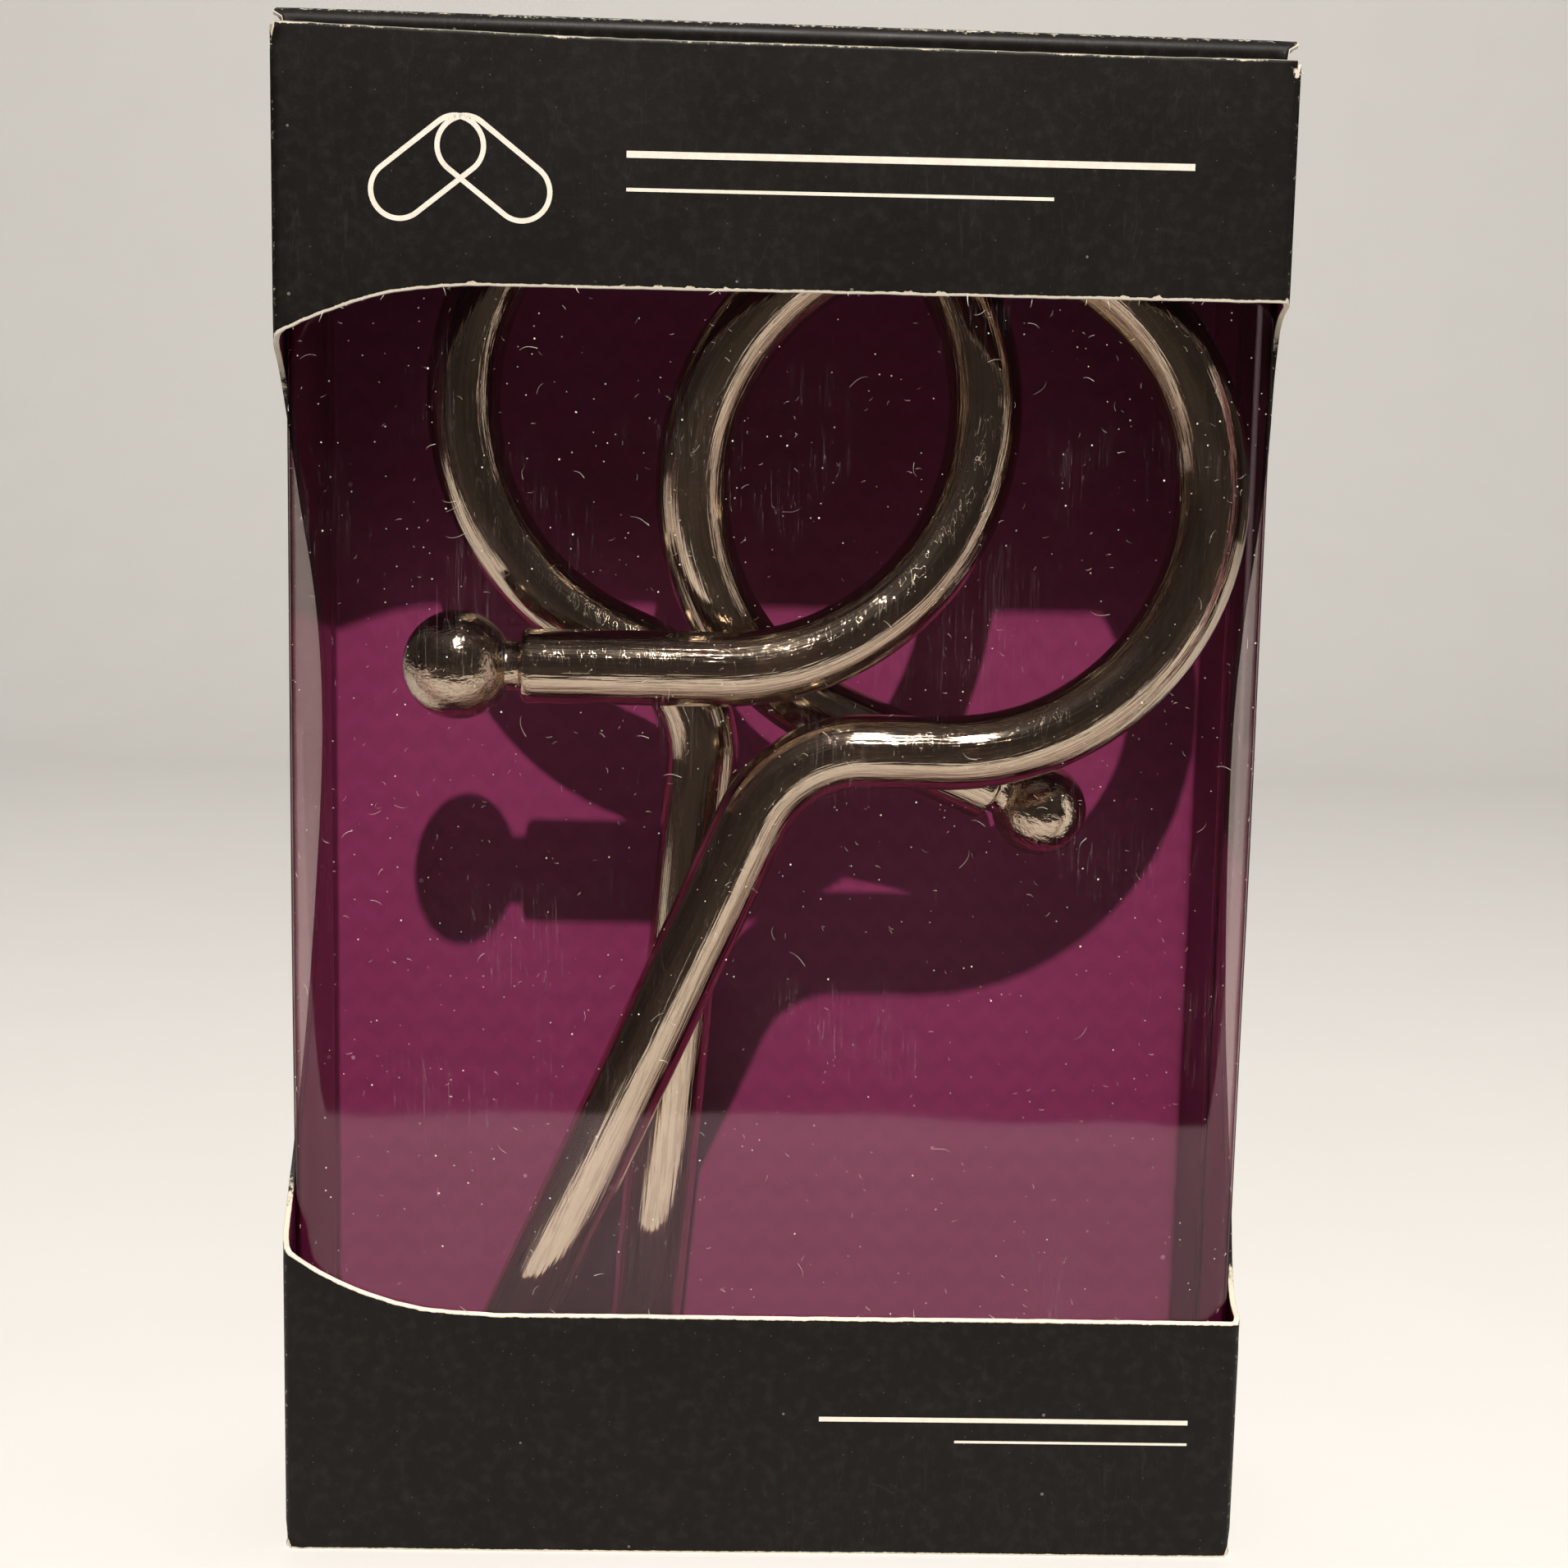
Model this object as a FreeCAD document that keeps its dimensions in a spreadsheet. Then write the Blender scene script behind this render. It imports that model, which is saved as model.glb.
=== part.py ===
import FreeCAD, Part
import Sketcher
import math
import os

# Windowed presentation carton of a bent-nail puzzle.
# Frame: +Z up, front panel faces -Y, origin at the centre of the bottom face.
# Depths called "d_" are measured from the outer face of the front panel into the box.

V = FreeCAD.Vector
doc = FreeCAD.newDocument("puzzle_carton")

# ---------------------------------------------------------------- driving sizes
sheet = doc.addObject("Spreadsheet::Sheet", "Sizes")
SIZES = [
    ("box_width", 84.0), ("box_depth", 25.0), ("front_height", 129.0),
    ("back_height", 129.5), ("side_height", 128.8),
    ("board", 0.5), ("film_thick", 0.25), ("liner_thick", 0.4),
    # window opening in the front panel
    ("header_edge", 109.7), ("header_corner", 105.3), ("header_run", 16.0),
    ("footer_edge", 21.8), ("footer_corner", 27.6), ("footer_run", 18.5),
    # lid and its flaps
    ("lid_under", 129.7), ("lid_width", 83.0), ("lid_front_inset", 0.7),
    ("hinge_height", 129.6), ("tuck_width", 79.0), ("tuck_length", 9.0),
    ("tuck_lean", 13.0), ("tuck_axis_height", 129.4), ("tuck_corner", 4.0),
    ("dust_under", 128.9), ("dust_length", 17.0), ("dust_front_inset", 2.5),
    ("dust_rear_inset", 1.0), ("dust_chamfer", 15.5),
    # glued seam and floor
    ("glue_width", 10.3), ("glue_taper", 6.0),
    ("floor_tab_width", 34.0), ("floor_tab_reach", 6.0), ("floor_gap", 0.2),
    ("floor_flap", 24.0), ("floor_flap_inset", 3.0),
    # film sheet
    ("film_low", 14.0), ("film_high", 118.0), ("film_left_reach", 21.6),
    ("film_right_reach", 14.0), ("film_bend", 3.4),
    # nails
    ("rod_dia", 6.5), ("front_ball_dia", 9.5), ("rear_ball_dia", 8.7),
    ("groove_dia", 4.3), ("groove_gap", 0.75), ("rod_edge", 0.7),
    ("tip_length", 11.0), ("tip_flat", 1.0),
    ("fn_ball_x", -27.5), ("fn_ball_z", 78.1), ("fn_loop_x", -4.9), ("fn_loop_radius", 23.1),
    ("fn_loop_turn", 337.0), ("fn_gap_run", 1.3), ("fn_bend_radius", 10.5),
    ("fn_bend_turn", 72.0), ("fn_tip_z", 1.7),
    ("fn_d_neck", 6.0), ("fn_d_loop", 13.7), ("fn_d_tip", 14.4),
    ("rn_loop_x", 15.0), ("rn_loop_z", 93.6), ("rn_loop_radius", 22.5),
    ("rn_neck_run", 20.9), ("rn_loop_turn", 336.4), ("rn_gap_run", 7.1),
    ("rn_bend_radius", 10.6), ("rn_bend_turn", 66.2), ("rn_tip_z", 1.7),
    ("rn_d_ball", 18.6), ("rn_d_start", 15.0), ("rn_d_loop", 6.4), ("rn_d_tip", 9.0),
]
for row, (alias, value) in enumerate(SIZES, start=1):
    sheet.set("A%d" % row, alias)
    sheet.set("B%d" % row, "%g" % value)
    sheet.setAlias("B%d" % row, alias)
doc.recompute()


def size(alias):
    return float(sheet.get(alias))


PARTS = []


def named(obj, name):
    obj.Label = name
    PARTS.append((name, obj))
    return obj


def plane(body, role):
    for feature in body.Origin.OriginFeatures:
        if feature.Role == role:
            return feature
    raise ValueError(role)


def bound(obj, prop, text):
    obj.setExpression(prop, text)


# ---------------------------------------------------------------- sketch helpers
def new_sketch(body, name, role):
    sk = body.newObject("Sketcher::SketchObject", name)
    sk.AttachmentSupport = [(plane(body, role), "")]
    sk.MapMode = "FlatFace"
    return sk


def rectangle(sk, x0, z0, x1, z1):
    """Rectangle whose four edges follow expressions of the sheet."""
    start = [(-1, -1), (1, -1), (1, 1), (-1, 1)]
    for i in range(4):
        a, b = start[i], start[(i + 1) % 4]
        sk.addGeometry(Part.LineSegment(V(a[0], a[1], 0), V(b[0], b[1], 0)), False)
    for i in range(4):
        sk.addConstraint(Sketcher.Constraint("Coincident", i, 2, (i + 1) % 4, 1))
    for i in (0, 2):
        sk.addConstraint(Sketcher.Constraint("Horizontal", i))
    for i in (1, 3):
        sk.addConstraint(Sketcher.Constraint("Vertical", i))
    # signed distances from the sketch origin to the low and the high corner
    for kind, vertex, text in (("DistanceX", (0, 1), x0), ("DistanceY", (0, 1), z0),
                               ("DistanceX", (2, 1), x1), ("DistanceY", (2, 1), z1)):
        start_value = -1.0 if vertex == (0, 1) else 1.0
        index = sk.addConstraint(
            Sketcher.Constraint(kind, -1, 1, vertex[0], vertex[1], start_value))
        sk.setExpression("Constraints[%d]" % index, text)


def outline(sk, pieces):
    """Closed outline from runs: ('line', a, b) or ('curve', [points])."""
    for piece in pieces:
        if piece[0] == "line":
            sk.addGeometry(Part.LineSegment(V(*piece[1], 0), V(*piece[2], 0)), False)
        else:
            curve = Part.BSplineCurve()
            curve.interpolate([V(x, y, 0) for x, y in piece[1]])
            sk.addGeometry(curve, False)


def pad(body, sk, name, length, reverse=False):
    feature = body.newObject("PartDesign::Pad", name)
    feature.Profile = sk
    feature.Reversed = reverse
    bound(feature, "Length", length)
    body.Tip = feature
    return feature


def place(body, **shift):
    for axis, text in shift.items():
        bound(body, "Placement.Base.%s" % axis, text)


def plate(name, role, draw, length, reverse=False, **shift):
    body = doc.addObject("PartDesign::Body", name)
    sk = new_sketch(body, name + "_outline", role)
    draw(sk)
    pad(body, sk, name + "_pad", length, reverse)
    place(body, **shift)
    return named(body, name)


# ---------------------------------------------------------------- carton: front
W = size("box_width")
D = size("box_depth")
T = size("board")
xl, xr = -W / 2, W / 2

h_edge, h_cor, h_run = size("header_edge"), size("header_corner"), size("header_run")
h_top = size("front_height")
header_curve = [(xl + h_run, h_edge), (xl + 0.60 * h_run, h_edge - 0.05 * (h_edge - h_cor) - 0.5),
                (xl + 0.27 * h_run, h_edge - 0.56 * (h_edge - h_cor)), (xl, h_cor)]


def header(sk):
    outline(sk, [("line", (xl, h_top), (xr, h_top)), ("line", (xr, h_top), (xr, h_edge)),
                 ("line", (xr, h_edge), (xl + h_run, h_edge)), ("curve", header_curve),
                 ("line", (xl, h_cor), (xl, h_top))])


plate("header_front", "XZ_Plane", header, "Sizes.board", True, y="-Sizes.box_depth / 2")

f_edge, f_cor, f_run = size("footer_edge"), size("footer_corner"), size("footer_run")
footer_curve = [(xl + f_run, f_edge), (xl + 0.60 * f_run, f_edge + 0.12 * (f_cor - f_edge)),
                (xl + 0.25 * f_run, f_edge + 0.52 * (f_cor - f_edge)), (xl, f_cor)]


def footer(sk):
    outline(sk, [("line", (xl, 0), (xr, 0)), ("line", (xr, 0), (xr, f_edge)),
                 ("line", (xr, f_edge), (xl + f_run, f_edge)), ("curve", footer_curve),
                 ("line", (xl, f_cor), (xl, 0))])


plate("footer_front", "XZ_Plane", footer, "Sizes.board", True, y="-Sizes.box_depth / 2")

# ---------------------------------------------------------------- carton: sides
# The window wraps round both front corners, so each side panel has a cut-out that
# is open towards the front: (depth, height) points down its edge.
LEFT_CUT = [(0.0, 105.3), (2.9, 102.6), (5.8, 98.6), (11.0, 90.9), (16.0, 84.2),
            (19.0, 77.6), (19.9, 71.5), (18.9, 64.4), (15.6, 54.6), (10.8, 44.4),
            (5.6, 35.9), (2.4, 31.0), (0.0, 27.6)]
RIGHT_CUT = [(0.0, 109.7), (3.0, 108.3), (4.5, 104.6), (5.6, 97.0), (8.0, 90.2),
             (11.2, 82.8), (13.3, 75.0), (13.6, 67.0), (12.9, 56.0), (11.2, 46.2),
             (8.5, 38.4), (5.7, 31.0), (4.2, 25.6), (2.8, 23.0), (0.0, 21.8)]


def cut_points(cut, relief=0.0, start=0.0):
    """Cut-out edge in panel coordinates (y, z), moved back by a relief."""
    pts = []
    for depth, z in cut:
        pts.append((-D / 2 + start + depth * (1 + relief / 14.0), z))
    return pts


def side(cut):
    y0, y1 = -D / 2 + T, D / 2 - T
    top = size("side_height")
    # the panel starts behind the front board, so its cut-out begins at that plane
    pts = [(max(y, y0), z) for y, z in cut_points(cut)]
    pts[0] = (y0, cut[0][1] - 0.2)
    pts[-1] = (y0, cut[-1][1] + 0.2)

    def draw(sk):
        outline(sk, [("line", (y0, 0), (y1, 0)), ("line", (y1, 0), (y1, top)),
                     ("line", (y1, top), (y0, top)), ("line", (y0, top), pts[0]),
                     ("curve", pts), ("line", pts[-1], (y0, 0))])
    return draw


plate("side_panel_left", "YZ_Plane", side(LEFT_CUT), "Sizes.board", False,
      x="-Sizes.box_width / 2")
plate("side_panel_right", "YZ_Plane", side(RIGHT_CUT), "Sizes.board", False,
      x="Sizes.box_width / 2 - Sizes.board")

# ---------------------------------------------------------------- carton: back
plate("back_panel", "XZ_Plane",
      lambda sk: rectangle(sk, "-Sizes.box_width / 2", "0", "Sizes.box_width / 2",
                           "Sizes.back_height"),
      "Sizes.board", True, y="Sizes.box_depth / 2 - Sizes.board")


# Seam flap: folded off the back panel and glued inside the right side panel.
def seam(sk):
    y1 = D / 2 - T
    y0 = y1 - size("glue_width")
    low, high, taper = 1.6, size("side_height") - 0.6, size("glue_taper")
    outline(sk, [("line", (y1, low), (y1, high)), ("line", (y1, high), (y0, high - taper)),
                 ("line", (y0, high - taper), (y0, low + taper)),
                 ("line", (y0, low + taper), (y1, low))])


plate("glue_flap", "YZ_Plane", seam, "Sizes.board", False,
      x="Sizes.box_width / 2 - 2 * Sizes.board")

# ---------------------------------------------------------------- carton: lid
lid = plate("top_lid", "XY_Plane",
            lambda sk: rectangle(sk, "-Sizes.lid_width / 2",
                                 "-Sizes.box_depth / 2 + Sizes.lid_front_inset",
                                 "Sizes.lid_width / 2", "Sizes.box_depth / 2"),
            "Sizes.board", False, z="Sizes.lid_under")


# Tuck flap: hangs from the lid's front edge behind the header, leaning inwards.
def tuck(sk):
    hw, length, c = size("tuck_width") / 2, size("tuck_length"), size("tuck_corner")
    s = math.sin(math.radians(45))
    left = [(-hw + 0.6, -length + c), (-hw + 0.6 + c * (1 - s), -length + c * (1 - s)),
            (-hw + 0.6 + c, -length)]
    right = [(-x, y) for x, y in reversed(left)]
    outline(sk, [("line", (hw, 0), (-hw, 0)), ("line", (-hw, 0), left[0]), ("curve", left),
                 ("line", left[-1], right[0]), ("curve", right),
                 ("line", right[-1], (hw, 0))])


tuck_flap = plate("tuck_flap", "XZ_Plane", tuck, "Sizes.board", True)
lean = math.radians(size("tuck_lean"))
tuck_flap.Placement = FreeCAD.Placement(
    V(0, -D / 2 + size("lid_front_inset"), size("tuck_axis_height")),
    FreeCAD.Rotation(V(1, 0, 0), size("tuck_lean")))
bound(tuck_flap, "Placement.Base.y", "-Sizes.box_depth / 2 + Sizes.lid_front_inset")
bound(tuck_flap, "Placement.Base.z", "Sizes.tuck_axis_height")


# Dust flaps: fold in from the tops of the side panels, rear ends cut at 45 degrees.
def dust(sign):
    def draw(sk):
        x0 = sign * (W / 2 - T - 0.1)
        x1 = sign * (W / 2 - T - 0.1 - size("dust_length"))
        y0 = -D / 2 + size("dust_front_inset")
        y1 = D / 2 - T - size("dust_rear_inset")
        c = size("dust_chamfer")
        xc = x0 - sign * c
        outline(sk, [("line", (x0, y0), (x1 + sign * 2, y0)),
                     ("line", (x1 + sign * 2, y0), (x1, y0 + 2)),
                     ("line", (x1, y0 + 2), (x1, y1 - c)),
                     ("line", (x1, y1 - c), (xc, y1 - c)),
                     ("line", (xc, y1 - c), (x0, y1)), ("line", (x0, y1), (x0, y0))])
    return draw


plate("dust_flap_left", "XY_Plane", dust(-1), "Sizes.board", False, z="Sizes.dust_under")
plate("dust_flap_right", "XY_Plane", dust(1), "Sizes.board", False, z="Sizes.dust_under")


# ---------------------------------------------------------------- carton: floor
# Lock bottom: two outer halves with an interlocking tab, over two inner end flaps.
def floor_front(sk):
    hw, y0, y1 = W / 2 - T - 0.1, -D / 2 + T, 0.0
    tw, reach = size("floor_tab_width") / 2, size("floor_tab_reach")
    outline(sk, [("line", (-hw, y0), (hw, y0)), ("line", (hw, y0), (hw, y1)),
                 ("line", (hw, y1), (tw, y1)), ("line", (tw, y1), (tw - 2, y1 + reach)),
                 ("line", (tw - 2, y1 + reach), (-tw + 2, y1 + reach)),
                 ("line", (-tw + 2, y1 + reach), (-tw, y1)), ("line", (-tw, y1), (-hw, y1)),
                 ("line", (-hw, y1), (-hw, y0))])


def floor_back(sk):
    hw, y0, y1 = W / 2 - T - 0.1, size("floor_gap"), D / 2 - T
    g = size("floor_gap")
    tw, reach = size("floor_tab_width") / 2 + g, size("floor_tab_reach")
    outline(sk, [("line", (-hw, y1), (hw, y1)), ("line", (hw, y1), (hw, y0)),
                 ("line", (hw, y0), (tw, y0)), ("line", (tw, y0), (tw - 2, y0 + reach)),
                 ("line", (tw - 2, y0 + reach), (-tw + 2, y0 + reach)),
                 ("line", (-tw + 2, y0 + reach), (-tw, y0)), ("line", (-tw, y0), (-hw, y0)),
                 ("line", (-hw, y0), (-hw, y1))])


plate("floor_panel_front", "XY_Plane", floor_front, "Sizes.board")
plate("floor_panel_back", "XY_Plane", floor_back, "Sizes.board")


def floor_end(sign):
    def draw(sk):
        x0 = sign * (W / 2 - T - 0.1)
        x1 = x0 - sign * size("floor_flap")
        y0, y1, c = -D / 2 + T + 0.1, D / 2 - T - 0.1, size("floor_flap_inset")
        outline(sk, [("line", (x0, y0), (x1, y0 + c)), ("line", (x1, y0 + c), (x1, y1 - c)),
                     ("line", (x1, y1 - c), (x0, y1)), ("line", (x0, y1), (x0, y0))])
    return draw


plate("floor_flap_left", "XY_Plane", floor_end(-1), "Sizes.board", z="Sizes.board")
plate("floor_flap_right", "XY_Plane", floor_end(1), "Sizes.board", z="Sizes.board")


# ---------------------------------------------------------------- window film
# One clear sheet glued behind the card and bent round both front corners.
def film(sk):
    t, r = size("film_thick"), size("film_bend")
    xo, yo = W / 2 - T, -D / 2 + T
    yl = -D / 2 + size("film_left_reach")
    yr = -D / 2 + size("film_right_reach")
    k = math.sqrt(0.5)

    def corner(sign, radius):
        cx, cy = sign * (xo - r), yo + r
        return ((cx + sign * radius, cy), (cx + sign * radius * k, cy - radius * k),
                (cx, cy - radius))

    def arc(p):
        sk.addGeometry(Part.Arc(*[V(x, y, 0) for x, y in p]), False)

    lo, li, ro, ri = corner(-1, r), corner(-1, r - t), corner(1, r), corner(1, r - t)
    outline(sk, [("line", (-xo, yl), lo[0])])
    arc(lo)
    outline(sk, [("line", lo[2], ro[2])])
    arc(ro)
    outline(sk, [("line", ro[0], (xo, yr)), ("line", (xo, yr), (xo - t, yr)),
                 ("line", (xo - t, yr), ri[0])])
    arc(ri)
    outline(sk, [("line", ri[2], li[2])])
    arc(li)
    outline(sk, [("line", li[0], (-xo + t, yl)), ("line", (-xo + t, yl), (-xo, yl))])


plate("window_film", "XY_Plane", film, "Sizes.film_high - Sizes.film_low", False,
      z="Sizes.film_low")


# ---------------------------------------------------------------- nails
def plan_path(start, heading, runs):
    """Flat path in X and Z: runs are ('run', length) or ('turn', radius, degrees)."""
    segments = []
    x, z = start
    for run in runs:
        if run[0] == "run":
            segments.append(("run", (x, z), heading, run[1], 0.0))
            x += run[1] * math.cos(math.radians(heading))
            z += run[1] * math.sin(math.radians(heading))
        else:
            radius, turn = run[1], run[2]
            side_sign = 1.0 if turn > 0 else -1.0
            normal = math.radians(heading + 90 * side_sign)
            cx, cz = x + radius * math.cos(normal), z + radius * math.sin(normal)
            length = radius * math.radians(abs(turn))
            segments.append(("turn", (cx, cz), heading, length, side_sign * radius))
            heading += turn
            normal = math.radians(heading + 90 * side_sign)
            x, z = cx - radius * math.cos(normal), cz - radius * math.sin(normal)
    return segments, (x, z), heading


def at(segments, s):
    """Point and heading at path length s."""
    for index, (kind, ref, heading, length, radius) in enumerate(segments):
        if s <= length + 1e-9 or index == len(segments) - 1:
            if kind == "run":
                hr = math.radians(heading)
                return ref[0] + s * math.cos(hr), ref[1] + s * math.sin(hr), heading
            sign = 1.0 if radius > 0 else -1.0
            r = abs(radius)
            h2 = heading + sign * math.degrees(s / r)
            normal = math.radians(h2 + 90 * sign)
            return ref[0] - r * math.cos(normal), ref[1] - r * math.sin(normal), h2
        s -= length


def hermite(knots, s):
    """Smooth depth along the path from (length, depth, slope) knots."""
    for (s0, d0, m0), (s1, d1, m1) in zip(knots, knots[1:]):
        if s <= s1 + 1e-9:
            step = s1 - s0
            u = (s - s0) / step
            value = (d0 * (2 * u ** 3 - 3 * u ** 2 + 1) + step * m0 * (u ** 3 - 2 * u ** 2 + u)
                     + d1 * (-2 * u ** 3 + 3 * u ** 2) + step * m1 * (u ** 3 - u ** 2))
            slope = (d0 * (6 * u ** 2 - 6 * u) / step + m0 * (3 * u ** 2 - 4 * u + 1)
                     + d1 * (-6 * u ** 2 + 6 * u) / step + m1 * (3 * u ** 2 - 2 * u))
            return value, slope
    return knots[-1][1], knots[-1][2]


def nodes(segments, knots, stops):
    """Points with unit tangents where the rod's axis is divided."""
    out = []
    for s in stops:
        x, z, heading = at(segments, s)
        depth, slope = hermite(knots, s)
        tangent = V(math.cos(math.radians(heading)), slope, math.sin(math.radians(heading)))
        tangent.normalize()
        out.append((V(x, -D / 2 + depth, z), tangent))
    return out


def arc_edge(p, q, corner):
    """Arc from p to q, tangent to the legs that meet at corner."""
    chord = q - p
    half = chord.Length / 2
    leg = (corner - p).Length
    middle = (p + q) * 0.5
    rise = corner - middle
    if rise.Length < 1e-5 or leg - half < 1e-7:
        return Part.LineSegment(p, q).toShape()
    phi = math.acos(min(1.0, half / leg))
    sag = half * math.tan(phi / 2)
    rise.normalize()
    return Part.Arc(p, middle + rise * sag, q).toShape()


def biarc_wire(points):
    """Arcs that join point to point with a common tangent everywhere."""
    edges = []
    for (p0, t0), (p1, t1) in zip(points, points[1:]):
        v = p1 - p0
        a = 2 * (1 - t0.dot(t1))
        b = 2 * v.dot(t0 + t1)
        c = -v.dot(v)
        if abs(a) < 1e-9:
            leg = -c / b
        else:
            leg = (-b + math.sqrt(b * b - 4 * a * c)) / (2 * a)
        q1, q2 = p0 + t0 * leg, p1 - t1 * leg
        joint = (q1 + q2) * 0.5
        edges.append(arc_edge(p0, joint, q1))
        edges.append(arc_edge(joint, p1, q2))
    return Part.Wire(edges)


def nail(segments, knots, stops, ball_dia, label):
    """Ball, grooved collar, rod along the path and pointed tip, as one solid."""
    pts = nodes(segments, knots, stops)
    rod_r, groove_r = size("rod_dia") / 2, size("groove_dia") / 2
    ball_r, edge = ball_dia / 2, size("rod_edge")
    p0, t0 = pts[0]
    # head, turned about the start of the axis: ball, groove and rounded shoulder
    reach = math.sqrt(ball_r ** 2 - groove_r ** 2)
    shoulder = ball_r + size("groove_gap")
    k = edge * (1 - math.sqrt(0.5))
    profile = [
        Part.Arc(V(0, 0, -ball_r), V(ball_r, 0, 0), V(groove_r, 0, reach)).toShape(),
        Part.LineSegment(V(groove_r, 0, reach), V(groove_r, 0, shoulder)).toShape(),
        Part.LineSegment(V(groove_r, 0, shoulder), V(rod_r - edge, 0, shoulder)).toShape(),
        Part.Arc(V(rod_r - edge, 0, shoulder), V(rod_r - k, 0, shoulder + k),
                 V(rod_r, 0, shoulder + edge)).toShape(),
        Part.LineSegment(V(rod_r, 0, shoulder + edge), V(rod_r, 0, shoulder + 2.0)).toShape(),
        Part.LineSegment(V(rod_r, 0, shoulder + 2.0), V(0, 0, shoulder + 2.0)).toShape(),
        Part.LineSegment(V(0, 0, shoulder + 2.0), V(0, 0, -ball_r)).toShape(),
    ]
    head = Part.Face(Part.Wire(profile)).revolve(V(0, 0, 0), V(0, 0, 1), 360)
    head = Part.Solid(Part.Shell(head.Faces)) if head.ShapeType != "Solid" else head
    # tip, turned about the end of the axis: long blunt point
    p1, t1 = pts[-1]
    tl, tf = size("tip_length"), size("tip_flat")
    tip_profile = [
        Part.LineSegment(V(0, 0, -1.5), V(rod_r, 0, -1.5)).toShape(),
        Part.LineSegment(V(rod_r, 0, -1.5), V(rod_r, 0, 0)).toShape(),
        Part.Arc(V(rod_r, 0, 0), V(rod_r * 0.80, 0, tl * 0.55), V(tf, 0, tl - 0.35)).toShape(),
        Part.LineSegment(V(tf, 0, tl - 0.35), V(tf * 0.55, 0, tl)).toShape(),
        Part.LineSegment(V(tf * 0.55, 0, tl), V(0, 0, tl)).toShape(),
        Part.LineSegment(V(0, 0, tl), V(0, 0, -1.5)).toShape(),
    ]
    tip = Part.Face(Part.Wire(tip_profile)).revolve(V(0, 0, 0), V(0, 0, 1), 360)
    tip = Part.Solid(Part.Shell(tip.Faces)) if tip.ShapeType != "Solid" else tip
    head.Placement = FreeCAD.Placement(p0, FreeCAD.Rotation(V(0, 0, 1), t0))
    tip.Placement = FreeCAD.Placement(p1, FreeCAD.Rotation(V(0, 0, 1), t1))
    # rod: the axis starts after the shoulder, on the straight neck
    first = p0 + t0 * (shoulder + 2.0)
    axis = biarc_wire([(first, t0)] + pts[1:])
    ring = Part.Wire([Part.Circle(first, t0, rod_r).toShape()])
    rod = axis.makePipeShell([ring], True, False)
    want = math.pi * rod_r ** 2 * axis.Length
    if abs(rod.Volume - want) > 0.01 * want:
        raise RuntimeError("%s rod volume %.1f, expected %.1f" % (label, rod.Volume, want))
    whole = rod.fuse([head, tip]).removeSplitter()
    if len(whole.Solids) != 1:
        raise RuntimeError("%s is %d solids" % (label, len(whole.Solids)))
    print("%s: axis %.1f mm, volume %.0f mm3" % (label, axis.Length, whole.Volume))
    return whole.Solids[0], axis


def to_tip(end, heading, tip_z):
    """Length of shank that brings the point to a height above the floor."""
    fall = -math.sin(math.radians(heading))
    return (end[1] - tip_z) / fall


# Front nail: neck across the front, loop turning to the back, S-bend behind its own
# neck, shank down to the floor.
neck = size("fn_loop_x") - size("fn_ball_x")
fr, fb = size("fn_loop_radius"), size("fn_bend_radius")
runs = [("run", neck), ("turn", fr, size("fn_loop_turn")), ("run", size("fn_gap_run")),
        ("turn", fb, -size("fn_bend_turn"))]
start = (size("fn_ball_x"), size("fn_ball_z"))
seg, end, heading = plan_path(start, 0.0, runs)
shank = to_tip(end, heading, size("fn_tip_z")) - size("tip_length")
fn_seg, end, heading = plan_path(start, 0.0, runs + [("run", shank)])
loop = fr * math.radians(size("fn_loop_turn"))
bend = fb * math.radians(size("fn_bend_turn"))
l0 = neck
l1 = l0 + loop
l2 = l1 + size("fn_gap_run")
l3 = l2 + bend
l4 = l3 + shank
dn, dl, dt = size("fn_d_neck"), size("fn_d_loop"), size("fn_d_tip")
ramp0, ramp1 = l0 + fr * math.radians(4), l0 + fr * math.radians(131)
fn_knots = [(0, dn, 0), (ramp0, dn, 0), (ramp1, dl, 0), (l3, dl, 0),
            (l4, dt, (dt - dl) / (l4 - l3) * 1.5)]
fn_stops = ([0, l0, ramp0] + [l0 + fr * math.radians(a) for a in range(22, 131, 22)]
            + [ramp1] + [l0 + fr * math.radians(a) for a in range(165, 330, 34)]
            + [l1, l2, l2 + bend / 2, l3, l3 + shank / 2, l4])
shape, _ = nail(fn_seg, fn_knots, sorted(fn_stops), size("front_ball_dia"), "front_nail")
front_nail = doc.addObject("Part::Feature", "front_nail")
front_nail.Shape = shape
front_nail.Placement = FreeCAD.Placement()
named(front_nail, "front_nail")

# Rear nail: ball at the back, neck rising to the left, loop coming to the front,
# straight under the loop, S-bend and a slanting shank in front.
rr, rb = size("rn_loop_radius"), size("rn_bend_radius")
a0 = 246.4
first_heading = a0 - 90.0
cx, cz = size("rn_loop_x"), size("rn_loop_z")
join = (cx + rr * math.cos(math.radians(a0)), cz + rr * math.sin(math.radians(a0)))
neck = size("rn_neck_run")
start = (join[0] - neck * math.cos(math.radians(first_heading)),
         join[1] - neck * math.sin(math.radians(first_heading)))
runs = [("run", neck), ("turn", rr, -size("rn_loop_turn")), ("run", size("rn_gap_run")),
        ("turn", rb, size("rn_bend_turn"))]
seg, end, heading = plan_path(start, first_heading, runs)
shank = to_tip(end, heading, size("rn_tip_z")) - size("tip_length")
rn_seg, end, heading = plan_path(start, first_heading, runs + [("run", shank)])
loop = rr * math.radians(size("rn_loop_turn"))
bend = rb * math.radians(size("rn_bend_turn"))
l0 = neck
l1 = l0 + loop
l2 = l1 + size("rn_gap_run")
l3 = l2 + bend
l4 = l3 + shank
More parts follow.
